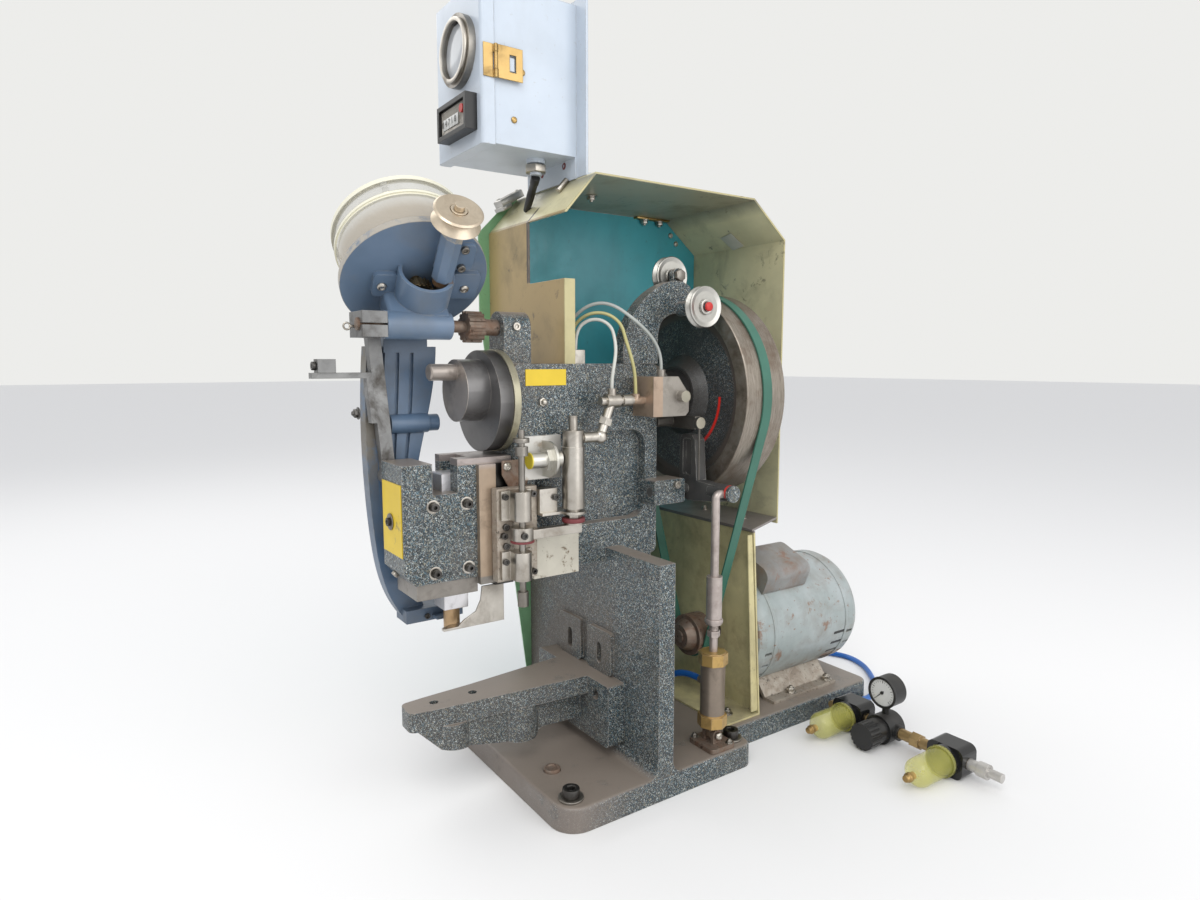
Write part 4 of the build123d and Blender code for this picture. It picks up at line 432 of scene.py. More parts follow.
def guard_tan():
    """Warm tan outside the guard, greyer and dirtier inside, with painted shade under its top and along the
    bent return at the front's edge, and a painted highlight in cream along the near rim.
    """
    paint = Finish("guard_tan")
    tone = paint.tone((0.54, 0.49, 0.3), (0.73, 0.68, 0.43), 0.16, 8, 4.0, 0.6)
    back_and_top = paint.mask(paint.facing((0, 0.707, 0.707)), 0.3, 0.5)
    body = paint.wash(tone, back_and_top, 0.8, (0.33, 0.29, 0.165))
    outside = paint.beyond("Y", -0.0695, -0.071)
    body = paint.mix(outside, body, (0.38, 0.275, 0.125))
    # painted highlight: cream along the near rim of the sheet, where the light catches it
    near = paint.beyond("X", 0.0388, 0.0396)
    body = paint.mix(near, body, (0.44, 0.39, 0.2))
    # painted shade: a dark band just under the guard's top, where the top lip shades the inside
    painted_ceiling_shade = paint.both(paint.beyond("Z", 0.69, 0.704), paint.beyond("Z", 0.7065, 0.706))
    body = paint.wash(body, painted_ceiling_shade, 0.7, (0.13, 0.13, 0.105))
    patches = paint.spots(0.5, 0.78, 15, 7.0, 0.65, 0.4)
    body = paint.wash(body, patches, 0.65, (0.15, 0.13, 0.08))
    spots = paint.spots(0.61, 0.66, 34, 8.0, 0.72, 0.6)
    body = paint.wash(body, spots, 0.6, (0.075, 0.06, 0.045))
    # painted shade: a dark brown strip where the bent return at the front wall's edge lies in shadow
    painted_return_shade = paint.both(paint.beyond("X", -0.046, -0.045), paint.beyond("X", -0.041, -0.0415),
                      paint.beyond("Z", 0.588, 0.59), paint.beyond("Y", -0.055, -0.058))
    body = paint.mix(painted_return_shade, body, (0.07, 0.055, 0.045))
    body = paint.wash(body, paint.worn_edges(), 0.6, (0.42, 0.38, 0.26))
    paint.rough(patches, 0.3, 0.55)
    return paint.finished(body, paint.noise(420, 3.0), 0.00012, 0.3, rounded=0.001)


def metal(name, light, dark, roughness, stain=(0.1, 0.07, 0.045), amount=0.35, scale=14,
          metallic=1.0, rounded=0.0008):
    """Bare metal with stains, fine scratches and darker grease in patches."""
    steel = Finish(name, metallic=metallic)
    tone = steel.tone(dark, light, 0.18, scale, 5.0, 0.62)
    stains = steel.spots(0.5, 0.72, scale * 2.3, 7.0, 0.68, 0.5)
    body = steel.wash(tone, stains, amount, stain)
    body = steel.wash(body, steel.edges(0.001), 0.5, tuple(min(1, c * 1.3) for c in light))
    grain = steel.noise(500, 3.0, 0.6)
    steel.rough(steel.math("ADD", stains, steel.math("MULTIPLY", grain, 0.4)), *roughness)
    return steel.finished(body, grain, 0.0001, 0.35, rounded=rounded)


def banded_metal(name, base, bands):
    """Metal whose colour changes in bands: each band is an axis, a start, an end and its colour."""
    steel = Finish(name, metallic=0.6)
    tone = steel.tone(tuple(c * 0.7 for c in base), base, 0.2, 22, 5.0, 0.62)
    for axis, low, high, colour in bands:
        shade = steel.tone(tuple(c * 0.72 for c in colour), colour, 0.2, 26, 5.0, 0.62)
        tone = steel.mix(steel.beyond(axis, low, high), tone, shade)
    stains = steel.spots(0.52, 0.72, 40, 7.0, 0.68, 0.5)
    body = steel.wash(tone, stains, 0.45, (0.045, 0.032, 0.022))
    body = steel.wash(body, steel.edges(0.001), 0.4, (0.45, 0.41, 0.35))
    steel.rough(stains, 0.32, 0.56)
    return steel.finished(body, steel.noise(420, 3.0), 0.00012, 0.35, rounded=0.0009)


def rusty(name, light, dark, rust, amount=0.8):
    """Steel gone brown: mottled rust over a dull metal ground."""
    steel = Finish(name, metallic=0.55)
    tone = steel.tone(dark, light, 0.2, 20, 5.0, 0.6)
    blooms = steel.spots(0.42, 0.62, 42, 8.0, 0.72, 0.7)
    body = steel.wash(tone, blooms, amount, rust)
    pits = steel.spots(0.6, 0.68, 180, 3.0, 0.7)
    body = steel.wash(body, pits, 0.7, (0.03, 0.02, 0.015))
    steel.rough(blooms, 0.45, 0.75)
    return steel.finished(body, pits, 0.0002, 0.4, rounded=0.001)


def plastic(name, colour, roughness, dust):
    """Moulded plastic with a fine grain and a little dust."""
    moulding = Finish(name)
    shade = tuple(c * 0.7 for c in colour)
    tone = moulding.tone(shade, colour, 0.2, 18, 4.0)
    haze = moulding.both(moulding.facing_up(0.3, 1.0), moulding.spots(0.35, 0.65, 60, 5.0))
    body = moulding.wash(tone, haze, dust, (0.22, 0.2, 0.17))
    moulding.rough(haze, roughness, roughness + 0.25)
    return moulding.finished(body, moulding.noise(700, 2.0), 0.0001, 0.3, rounded=0.0008)


def hazy_drum():
    """Clear drum gone cream and dusty, with denser rings at its ledge and rim."""
    sheet = Finish("hazy_drum", roughness=0.22)
    rise = sheet.along(DISC_CENTRE * MM, DRUM_AXIS)
    ledge = sheet.within(sheet.math("SUBTRACT", rise, 0.0505, clamp=False), 0.0028)
    rim = sheet.mask(rise, 0.068, 0.07)
    foot = sheet.mask(rise, 0.0125, 0.0105)
    dense = sheet.math("ADD", sheet.math("ADD", ledge, rim), foot)
    film = sheet.spots(0.3, 0.68, 14, 6.0, 0.65, 0.4)
    low = sheet.mask(rise, 0.05, 0.03)
    body = sheet.wash((0.6, 0.595, 0.55), film, 0.6, (0.44, 0.41, 0.34))
    body = sheet.wash(body, low, 0.75, (0.37, 0.31, 0.23))
    body = sheet.mix(dense, body, (0.74, 0.71, 0.57))
    haze = sheet.math("ADD", sheet.math("MULTIPLY", film, 0.25), sheet.math("MULTIPLY", low, 0.45))
    sheet.span(sheet.math("MAXIMUM", haze, dense), "Alpha", 0.26, 1.0)
    return sheet.finished(body, sheet.noise(120, 3.0), 0.0001, 0.2)


def bowl_finish():
    """Black filter heads over clear yellow bowls with brass drains."""
    bowl = Finish("bowl_finish", roughness=0.1)
    head = bowl.beyond("Y", 0.2985, 0.2995)
    drain = bowl.beyond("Y", 0.2425, 0.2415)
    tone = bowl.mix(bowl.spots(0.35, 0.65, 18, 4.0), (0.74, 0.7, 0.17), (0.48, 0.47, 0.12))
    tone = bowl.mix(drain, tone, (0.36, 0.24, 0.08))
    body = bowl.mix(head, tone, (0.012, 0.012, 0.012))
    bowl.span(bowl.math("ADD", head, drain), "Alpha", 0.42, 1.0)
    return bowl.finished(body, bowl.noise(300, 2.0), 0.0001, 0.2)


def sensor_finish():
    """Off-white backing plate, nickel sensor and nuts, and a yellow sensing face."""
    part = Finish("sensor_finish", roughness=0.34)
    tone = part.tone((0.5, 0.49, 0.44), (0.62, 0.6, 0.56), 0.2, 26, 5.0)
    plate = part.mix(part.spots(0.55, 0.68, 60, 6.0, 0.7), (0.6, 0.58, 0.54), (0.3, 0.22, 0.14))
    off = part.beyond("X", 0.0478, 0.0484)
    body = part.mix(off, plate, tone)
    tip = part.both(part.beyond("Y", -0.13, -0.1312), off)
    body = part.mix(tip, body, (0.62, 0.5, 0.03))
    part.span(part.math("SUBTRACT", off, tip), "Metallic", 0.0, 0.9)
    return part.finished(body, part.noise(420, 3.0), 0.0001, 0.3, rounded=0.0008)


def lever_finish():
    """Dark painted lever with worn edges and a red paint ring on its boss."""
    paint = Finish("lever_finish", roughness=0.45)
    tone = paint.tone((0.034, 0.034, 0.034), (0.085, 0.082, 0.076), 0.16, 16, 5.0)
    boss = paint.beyond("X", 0.1255, 0.1262)
    body = paint.mix(boss, tone, flecked(paint, (0.06, 0.065, 0.065)))
    ring = paint.within(paint.along((0.1235, 0, 0), (1, 0, 0)), 0.0014)
    patch = paint.spots(0.36, 0.44, 50, 2.0)
    body = paint.mix(paint.both(ring, patch), body, (0.55, 0.03, 0.02))
    worn = paint.both(paint.edges(0.0014), paint.spots(0.38, 0.6, 80, 4.0))
    body = paint.mix(worn, body, (0.34, 0.33, 0.3))
    return paint.finished(body, paint.noise(420, 3.0), 0.00018, 0.4, rounded=0.0012)


def plates_finish():
    """Plain yellow label plates and, low on the frame's side, a cream plate with chipped paint."""
    paint = Finish("plates_finish", roughness=0.42)
    yellow = paint.tone((0.6, 0.42, 0.015), (0.7, 0.5, 0.02), 0.2, 22, 4.0)
    yellow = paint.mix(paint.spots(0.6, 0.72, 70, 6.0, 0.7), yellow, (0.3, 0.22, 0.05))
    cream = paint.tone((0.44, 0.41, 0.34), (0.58, 0.55, 0.46), 0.2, 22, 5.0)
    chips = paint.spots(0.56, 0.64, 85, 7.0, 0.72, 0.4)
    cream = paint.mix(chips, cream, (0.16, 0.115, 0.07))
    low = paint.both(paint.beyond("Y", -0.2, -0.19), paint.beyond("Z", 0.33, 0.32))
    body = paint.mix(low, yellow, cream)
    return paint.finished(body, paint.noise(300, 3.0), 0.0001, 0.3, rounded=0.0005)


def finishes():
    """Every finish by a plain name."""
    return {
        "speckled": speckled_enamel(),
        "arm": speckled_enamel("arm_enamel", 0.3),
        "wheel": flywheel_finish(),
        "hopper": hopper_blue(),
        "race": race_blue(),
        "tan": guard_tan(),
        "low_tan": enamel("low_tan_enamel", (0.62, 0.55, 0.29), (0.43, 0.38, 0.2), (0.2, 0.165, 0.105),
                          0.75, (0.35, 0.6), 0.2, 10, strip=("Z", 0.2715, 0.2725, (0.175, 0.15, 0.138))),
        "teal": enamel("teal_enamel", (0.06, 0.36, 0.42), (0.045, 0.285, 0.34), (0.05, 0.19, 0.2), 0.4),
        "green": enamel("green_enamel", (0.255, 0.5, 0.27), (0.19, 0.4, 0.205), (0.14, 0.2, 0.11), 0.4),
        "motor": enamel("motor_enamel", (0.37, 0.405, 0.405), (0.26, 0.3, 0.29), (0.19, 0.15, 0.115),
                        0.6, (0.35, 0.6), 0.85, 12),
        "cover": enamel("cover_enamel", (0.26, 0.26, 0.25), (0.16, 0.155, 0.145), (0.19, 0.11, 0.07),
                        1.0, (0.4, 0.65), 0.9, 16),
        "pale": enamel("box_enamel", (0.5, 0.555, 0.62), (0.45, 0.505, 0.57), (0.34, 0.33, 0.3),
                       0.15, (0.28, 0.45)),
        "bright": metal("bright_steel", (0.56, 0.53, 0.48), (0.34, 0.31, 0.27), (0.26, 0.5), amount=0.5),
        "dull": metal("dull_steel", (0.36, 0.34, 0.31), (0.19, 0.175, 0.155), (0.3, 0.6), amount=0.5),
        "dark": metal("black_steel", (0.12, 0.115, 0.11), (0.05, 0.048, 0.045), (0.3, 0.55),
                      (0.03, 0.022, 0.016), 0.6),
        "worn": metal("worn_bar", (0.26, 0.26, 0.255), (0.11, 0.11, 0.11), (0.35, 0.6),
                      (0.055, 0.045, 0.035), 0.9, metallic=0.6),
        "brass": metal("dull_brass", (0.56, 0.38, 0.15), (0.36, 0.24, 0.1), (0.28, 0.55),
                       (0.1, 0.07, 0.04), 0.5),
        "bronze": metal("oily_bronze", (0.36, 0.26, 0.14), (0.18, 0.13, 0.075), (0.25, 0.5),
                        (0.05, 0.035, 0.02), 0.6),
        "alloy": metal("turned_alloy", (0.5, 0.49, 0.46), (0.4, 0.39, 0.36), (0.28, 0.46), amount=0.2),
        "vee": metal("browned_pulley", (0.68, 0.59, 0.47), (0.52, 0.44, 0.34), (0.34, 0.52),
                     (0.26, 0.19, 0.13), 0.35),
        "rust": rusty("rusty_steel", (0.3, 0.235, 0.19), (0.18, 0.14, 0.11), (0.19, 0.105, 0.065)),
        "spots": rusty("pitted_steel", (0.5, 0.45, 0.38), (0.36, 0.32, 0.27), (0.17, 0.1, 0.06), amount=0.4),
        "crank": banded_metal("greasy_crank", (0.062, 0.059, 0.057), (
            ("Y", -0.15, -0.165, (0.175, 0.17, 0.168)), ("Y", -0.1885, -0.1895, (0.44, 0.39, 0.35)))),
        "bush": banded_metal("greasy_bush", (0.42, 0.39, 0.28), (("Y", 0.03, 0.05, (0.14, 0.11, 0.08)),)),
        "ram": banded_metal("ram_steel", (0.8, 0.79, 0.81), (("Z", 0.2255, 0.2245, (0.46, 0.31, 0.17)),)),
        "rod": metal("clutch_rod", (0.5, 0.44, 0.41), (0.33, 0.28, 0.255), (0.3, 0.5),
                     scale=30, rounded=0, metallic=0.6),
        "plates": banded_metal("head_plate_steel", (0.4, 0.305, 0.22), (
            ("Z", 0.38, 0.388, (0.4, 0.35, 0.33)), ("Z", 0.264, 0.2625, (0.25, 0.23, 0.205)))),
        "clutch": banded_metal("clutch_bronze", (0.3, 0.245, 0.195), (
            ("Z", 0.07, 0.069, (0.52, 0.34, 0.12)), ("Z", 0.1315, 0.132, (0.52, 0.34, 0.12)),
            ("Z", 0.0545, 0.0538, (0.24, 0.17, 0.12)))),
        "valve": banded_metal("valve_metal", (0.48, 0.36, 0.27), (
            ("Y", 0.0365, 0.0372, (0.36, 0.33, 0.29)), ("Z", 0.4308, 0.43, (0.11, 0.102, 0.09)),
            ("X", 0.0895, 0.09, (0.42, 0.39, 0.31)))),
        "pipes": banded_metal("pipe_brass", (0.42, 0.29, 0.13), (("X", 0.314, 0.316, (0.58, 0.56, 0.53)),)),
        "sensor": sensor_finish(),
        "lever": lever_finish(),
        "labels": plates_finish(),
        "belt": plastic("belt_green", (0.04, 0.15, 0.105), 0.5, 0.2),
        "black": plastic("black_moulding", (0.012, 0.012, 0.012), 0.38, 0.15),
        "red": plastic("red_moulding", (0.5, 0.02, 0.015), 0.35, 0.05),
        "washer_red": plastic("red_washer", (0.19, 0.034, 0.038), 0.5, 0.25),
        "white": plastic("white_face", (0.72, 0.72, 0.69), 0.4, 0.05),
        "tag": plastic("paper_tag", (0.62, 0.6, 0.52), 0.7, 0.3),
        "hose": plastic("blue_hose", (0.01, 0.13, 0.48), 0.3, 0.1),
        "tube_white": plastic("white_tube", (0.62, 0.62, 0.56), 0.35, 0.2),
        "tube_yellow": plastic("straw_tube", (0.5, 0.46, 0.2), 0.35, 0.2),
        "tube_grey": plastic("grey_tube", (0.42, 0.44, 0.41), 0.35, 0.2),
        "drum": hazy_drum(),
        "bowl": bowl_finish(),
        "pane": plastic("glazed_dial", (0.46, 0.48, 0.5), 0.06, 0.0),
    }


# The CAD nodes that wear each finish
NODES_BY_FINISH = {
    "speckled": "frame_casting idler_bracket head_housing",
    "arm": "lower_arm",
    "dark": "head_bracket cap_screws",
    "plates": "head_plates",
    "bush": "shaft_bushes",
    "crank": "crankshaft",
    "wheel": "flywheel",
    "belt": "drive_belt",
    "rust": "motor_rotor cylinder_foot hopper_shaft",
    "motor": "motor_shell motor_bells",
    "cover": "capacitor_cover",
    "spots": "motor_cradle slide_plate",
    "tan": "guard_shell",
    "teal": "guard_back_panel",
    "green": "side_post",
    "low_tan": "lower_guard",
    "alloy": "idler_pulley_far idler_pulley_near",
    "ram": "ram",
    "labels": "bare_plates",
    "bright": "holding_strap bearing_blocks cylinder_bracket "
              "spotter_cylinder spotter_link air_fittings",
    "dull": "spotter_rod box_window",
    "sensor": "sensor_mount",
    "valve": "clutch_valve",
    "lever": "clutch_lever",
    "rod": "pull_rod",
    "clutch": "clutch_cylinder",
    "hopper": "hopper_casting",
    "drum": "hopper_drum",
    "bronze": "agitator",
    "vee": "hopper_pulley",
    "race": "raceway",
    "worn": "feed_lever feed_bracket",
    "pale": "box_body box_door",
    "black": "counter regulator regulator_knob",
    "red": "counter_button",
    "brass": "hasp hasp_leaf",
    "bowl": "air_bowls",
    "pipes": "supply_pipes",
    "hose": "air_hose",
    "tube_white": "thin_tubes",
}


def dress_nodes():
    """Give every CAD node its finish."""
    for look, group in NODES_BY_FINISH.items():
        for name in group.split():
            for slot in nodes[name].material_slots:
                slot.material = finish[look]


def cord_curve(name, points, radius, material):
    """A smooth round tube along its control points, given in metres."""
    data = bpy.data.curves.new(name, "CURVE")
    data.dimensions = "3D"
    data.bevel_depth = radius
    data.bevel_resolution = 4
    data.use_fill_caps = True
    line = data.splines.new("NURBS")
    line.points.add(len(points) - 1)
    for point, place in zip(line.points, points):
        point.co = (*place, 1)
    line.order_u = 3
    line.use_endpoint_u = True
    line.resolution_u = 8
    piece = bpy.data.objects.new(name, data)
    bpy.context.scene.collection.objects.link(piece)
    data.materials.append(finish[material])
    return piece


def cords():
    """Blue hose from the air set to the clutch, and the three thin tubes over the frame."""
    hose = cord_curve("blue_hose", HOSE, HOSE_R, "hose")
    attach(hose, "frame")
    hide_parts("air_hose")
    tubes = (
        ("white_tube", WHITE_TUBE, "tube_white", 0.146),
        ("straw_tube", STRAW_TUBE, "tube_yellow", 0.176),
        ("grey_tube", GREY_TUBE, "tube_grey", 0.196),
    )
    for name, points, material, length in tubes:
        tube = cord_curve(name, points, THIN_R, material)
        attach(tube, "frame")
        if name == "white_tube":
            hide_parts("thin_tubes")


def floor():
    """Plain pale floor that keeps the object's shadow."""
    bpy.ops.mesh.primitive_plane_add(size=40, location=(0, 0, -0.0002))
    ground = bpy.context.object
    ground.name = "floor"
    paper = Finish("pale_floor", roughness=0.8)
    paper.feed(paper.shader, {"Base Color": (0.80, 0.79, 0.77)})
    ground.data.materials.append(paper.material)


def deselect():
    """Leave edit mode and select nothing."""
    if bpy.context.object and bpy.context.object.mode == "EDIT":
        bpy.ops.object.mode_set(mode="OBJECT")
    bpy.ops.object.select_all(action="DESELECT")


def opened(name):
    """Name the new primitive, keep its place in its mesh and open it in edit mode."""
    piece = bpy.context.object
    piece.name = name
    bpy.ops.object.transform_apply(location=True, rotation=True, scale=True)
    bpy.ops.object.mode_set(mode="EDIT")
    bpy.ops.mesh.select_mode(type="FACE")
    return piece


def round_blank(name, r, length, sides=32, base=0.0):
    """A round blank that stands along Z above the origin, open in edit mode, in millimetres."""
    deselect()
    bpy.ops.mesh.primitive_cylinder_add(
        vertices=sides, radius=r * MM, depth=length * MM, location=(0, 0, (base + length / 2) * MM))
    return opened(name)


def square_blank(name, size, centre=(0, 0, 0)):
    """A square blank of a size about a centre, open in edit mode, in millimetres."""
    deselect()
    bpy.ops.mesh.primitive_cube_add(size=1, location=Vector(centre) * MM, scale=Vector(size) * MM)
    return opened(name)


def select_faces(piece, test):
    """Select the faces whose centre, in millimetres, and normal pass a test."""
    mesh = bmesh.from_edit_mesh(piece.data)
    for face in mesh.faces:
        face.select_set(False)
    for face in mesh.faces:
        if test(face.calc_center_median() / MM, face.normal):
            face.select_set(True)
    bmesh.update_edit_mesh(piece.data)


def select_top(piece):
    select_faces(piece, lambda centre, normal: normal.z > 0.9)


def select_bottom(piece):
    select_faces(piece, lambda centre, normal: normal.z < -0.9)


def inset(amount, depth=0.0):
    bpy.ops.mesh.inset(thickness=amount * MM, depth=depth * MM)


def pull(*way):
    bpy.ops.mesh.extrude_region_move(TRANSFORM_OT_translate={"value": Vector(way) * MM})


def scale_about(centre, factors):
    bpy.ops.transform.resize(value=factors, center_override=Vector(centre) * MM)


def closed(piece, bevel=0.0, angle=35, segments=2):
    """Leave edit mode, round the piece's sharp edges and smooth its faces."""
    bpy.ops.object.mode_set(mode="OBJECT")
    if bevel:
        rounding = piece.modifiers.new("rounding", "BEVEL")
        rounding.width = bevel * MM
        rounding.segments = segments
        rounding.limit_method = "ANGLE"
        bpy.ops.object.modifier_apply(modifier="rounding")
    bpy.ops.object.shade_smooth_by_angle(angle=math.radians(angle))
    return piece


def stance(place, axis, spin, size=1.0):
    """The transform that turns Z to an axis and carries the origin to a place in millimetres."""
    turn = Vector(axis).to_track_quat("Z", "Y") @ Quaternion((0, 0, 1), spin)
    return Matrix.LocRotScale(Vector(place) * MM, turn, Vector((size, size, size)))


def stepped(piece, steps, bevel=0.0, angle=35):
    """Step the top by insets, each a width and a rise, and close the piece."""
    select_top(piece)
    for width, rise in steps:
        inset(width, rise)
    return closed(piece, bevel, angle)


def copies(master, name, places, axis=UP, spin=0.0, size=1.0):
    """Place copies of a piece, each with its own mesh, and join them into one."""
    made = []
    for place in places:
        mesh = master.data.copy()
        mesh.transform(stance(place, axis, spin, size))
        copy = bpy.data.objects.new(name, mesh)
        bpy.context.scene.collection.objects.link(copy)
        made.append(copy)
    return joined(name, made)


def joined(name, pieces):
    """Join pieces into the first of them, under one name."""
    deselect()
    for piece in pieces:
        piece.select_set(True)
    bpy.context.view_layer.objects.active = pieces[0]
    if len(pieces) > 1:
        bpy.ops.object.join()
    pieces[0].name = name
    return pieces[0]


def fit(piece, body, material, slot):
    """Give a finished piece its finish and the body it moves with; the slot argument is not used."""
    piece.data.materials.clear()
    piece.data.materials.append(finish[material])
    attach(piece, body)
    return piece


def socket_screw():
    """Socket head with a hexagon recess, head radius 5 and height 5, standing on the origin."""
    screw = round_blank("socket_screw", 5, 5, 36)
    select_top(screw)
    inset(2.3)
    mesh = bmesh.from_edit_mesh(screw.data)
    for face in mesh.faces:
        if face.select:
            for vert in face.verts:
                turn = math.atan2(vert.co.y, vert.co.x) % math.radians(60)
                reach = 2.3 * MM / math.cos(turn - math.radians(30))
                vert.co.xy = vert.co.xy.normalized() * reach
    bmesh.update_edit_mesh(screw.data)
    pull(0, 0, -3)
    return closed(screw, 0.35)


def hexagon_bolt():
    """Hexagon head on a round washer, across-corner radius 7, standing on the origin."""
    washer = closed(round_blank("washer", 9.5, 1.6), 0.4)
    bolt = round_blank("hexagon_bolt", 7, 5.4, 6, base=1.6)
    select_top(bolt)
    inset(0.8, 0.5)
    pull(0, 0, 0.2)
    closed(bolt, 0.3)
    stud = stepped(round_blank("stud", 3.4, 4, 20, base=6), [(0.6, 0.6)], 0.2)
    return joined("hexagon_bolt", [bolt, washer, stud])


def button_screw():
    """Low domed head, radius 5, with a small recess."""
    screw = round_blank("button_screw", 5, 1.2, 32)
    select_top(screw)
    for thickness, depth in ((0.6, 0.9), (1.0, 0.7), (1.0, 0.3)):
        inset(thickness, depth)
    inset(0.3)
    pull(0, 0, -1.2)
    return closed(screw, 0.15, 60)


def ring(name, outer, inner, height, bevel=0.3, sides=48):
    """A flat ring that stands on the origin."""
    band = round_blank(name, outer, height, sides)
    select_faces(band, lambda centre, normal: abs(normal.z) > 0.9)
    inset(outer - inner)
    bpy.ops.mesh.delete(type="FACE")
    bpy.ops.mesh.select_mode(type="EDGE")
    bpy.ops.mesh.select_non_manifold()
    bpy.ops.mesh.bridge_edge_loops()
    bpy.ops.mesh.select_all(action="SELECT")
    bpy.ops.mesh.normals_make_consistent(inside=False)
    return closed(band, bevel)


def placed(piece, place, axis=UP, spin=0.0):
    """Turn a piece's Z to an axis and carry it to a place, kept in its mesh."""
    piece.data.transform(stance(place, axis, spin))
    return piece


def ring_set(name, places, axis, *shape):
    """Equal rings at several places, joined into one piece."""
    return joined(name, [placed(ring(name, *shape), place, axis) for place in places])


def fasteners():
    """Screws, bolts and button heads that the CAD solids leave out."""
    screw = socket_screw()
    bolt = hexagon_bolt()
    button = button_screw()
    under = tuple(-DRUM_AXIS)
    feed_bright = ("feed", "bright", "bright_steel")
    feed_dull = ("feed", "dull", "dark_steel")
    feed_dark = ("feed", "dark", "dark_steel")
    jobs = (
        ("arm_screws", screw, [(-53, -29, 101), (53, -29, 101)], FRONT, 1.15, RUSTY),
        ("lug_screw", screw, [(16.6, -122.8, 534)], NEAR, 0.9, BRIGHT),
        ("ear_screw", screw, [(62, 74, 345)], NEAR, 0.9, BRIGHT),
        ("bracket_screws", screw, [(58, -98, 346), (52, -157, 318), (52, -157, 297), (78, -149, 312)],
         NEAR, 0.75, DARK),
        ("sensor_screws", screw, [(48, -99, 401), (48, -98, 372)], NEAR, 0.8, DARK),
        ("cover_screws", screw, [(57, -160, 352), (57, -160, 281), (57, -133, 281)], NEAR, 0.7, DARK),
        ("plate_screw", screw, [(0, -265, 328)], FRONT, 0.9, DARK),
        ("chamfer_screw", screw, [(-7, -258, 270)], (0, -0.76, -0.65), 0.8, BRIGHT),
        ("hold_down_screws", screw, hold_down_places(30.5), UP, 1.9, DARK),
        ("motor_bolts", bolt, [(x, y, 32) for x in (-65, 75) for y in (278, 354)], UP, 0.85, BRIGHT),
        ("toe_bolts", bolt, [(72, 158, 30.6), (-60, 158, 30.6)], UP, 0.8, DULL),
        ("post_bolts", bolt, [(-147.2, -4, 72), (-147.2, -4, 88)], (-1, 0, 0), 0.9, DULL),
        ("foot_bolts", bolt, [(100, 76, 34), (136, 100, 34)], UP, 0.5, DULL),
        ("guard_bolts", bolt, [(-57, 28, 705.3), (-138, 176, 702.6), (-138, 204, 702.6)],
         (0, 0, -1), 0.8, BRIGHT),
        ("flange_rivets", button, [(-73.7, -32, 726), (-22.5, -32, 726)], FRONT, 0.95,
         ("frame", "washer_red", "rusty_steel")),
        ("shelf_bolts", bolt, [(20, 232, 277), (-60, 232, 277)], UP, 0.6, BRIGHT),
        ("pad_screws", button, [on_disc(-3.7, -35.7, 6), on_disc(-5.8, 52.7, 6)],
         under, 1.0, feed_bright),
        ("cover_plate_screws", screw, [on_disc(48.8, 42, 5), on_disc(24.4, 43, 5)],
         under, 0.85, feed_dull),
        ("shoe_screws", screw, [(-30, -216, 208), (-30, -188, 209)], NEAR, 0.62, feed_dark),
        ("stop_screw", screw, [(-35, -326, 491)], FRONT, 0.9, feed_dark),
        ("leg_bolt", bolt, [(-35, -284, 441)], FRONT, 0.7, feed_dark),
        ("bell_screws", screw, bell_places(), REAR, 0.7, RUSTY),
        ("box_screws", button, [(2.2, -113.6, 759), (2.2, -102.9, 810.5)], NEAR, 0.7,
         ("frame", "brass", "brass")),
        ("pin_head", button, [(130, 88, 43)], NEAR, 1.0, BRIGHT),
        ("panel_screws", button, [(-143, 230, 685), (-143, 240.6, 673.5), (-143, 205, 640)],
         NEAR, 0.8, BRIGHT),
    )
    for name, master, places, axis, size, look in jobs:
        fit(copies(master, name, places, axis, 0.3, size), *look)
    for master in (screw, bolt, button):
        bpy.data.objects.remove(master, do_unlink=True)


def on_disc(along, across, depth=0.0):
    """A place under the hopper disc: along the worm shaft, across it and below the disc."""
    return DISC_CENTRE + along * WORM_AXIS + across * ACROSS - depth * DRUM_AXIS


def hold_down_places(height):
    """The four hold-down holes, at a height."""
    return [(x, y, height) for x in (-120, 120) for y in (-118, 118)]


def bell_places():
    """Four through-bolt heads on the motor's rear end."""
    reach = 60
    return [(MOTOR_X + reach * math.cos(turn), 410, MOTOR_Z + reach * math.sin(turn))
            for turn in (0.8, 2.4, 3.9, 5.5)]


def washers():
    """Pale seats of the head's screws, one plain washer on the front plate, the spotter's red bumper
    washers, and the washers under the hold-down screws."""
    seats = [(33, y, z) for y, z in ((-231, 345), (-193, 345), (-230, 274), (-192, 275))]
    fit(ring_set("screw_seats", seats, NEAR, 7.2, 4.7, 0.7, 0.2), *BRIGHT)
    fit(placed(ring("plate_washer", 9, 4, 1.2), (0, -265.2, 328), FRONT), *DULL)
    bumpers = [
        placed(ring("bumper", 13, 3.6, 2.5, 0.8), (66, -144, 302.4)),
        placed(ring("bumper", 13, 4.2, 5, 0.8), (66, -79, 317.3)),
    ]
    fit(joined("bumper_washers", bumpers), "spotter", "washer_red", "red_plastic")
    fit(ring_set("hold_down_washers", hold_down_places(28), UP, 14, 7, 2.5, 0.6), *DULL)


def base_plug():
    """Domed plug with a round socket, standing in the round recess in the base."""
    plug = round_blank("base_plug", 9.6, 9, 40, base=22.2)
    select_top(plug)
    inset(1.2, 0.5)
    inset(2.2)
    pull(0, 0, -1.6)
    closed(plug, 0.3)
    fit(placed(plug, (59, -105, 0)), *RUSTY)


def grease_nipple():
    """Hexagon nipple with a rounded nose, on the frame's near side."""
    nut = round_blank("nipple", 5.2, 3.4, 6)
    select_top(nut)
    inset(1.4)
    for rise, factor in ((1.6, 0.8), (1.6, 1.25), (1.4, 0.6)):
        pull(0, 0, rise)
        scale_about((0, 0, 0), (factor, factor, 1))
    closed(nut, 0.3)
    fit(placed(nut, (40, -103.2, 450.8), NEAR), *BRIGHT)


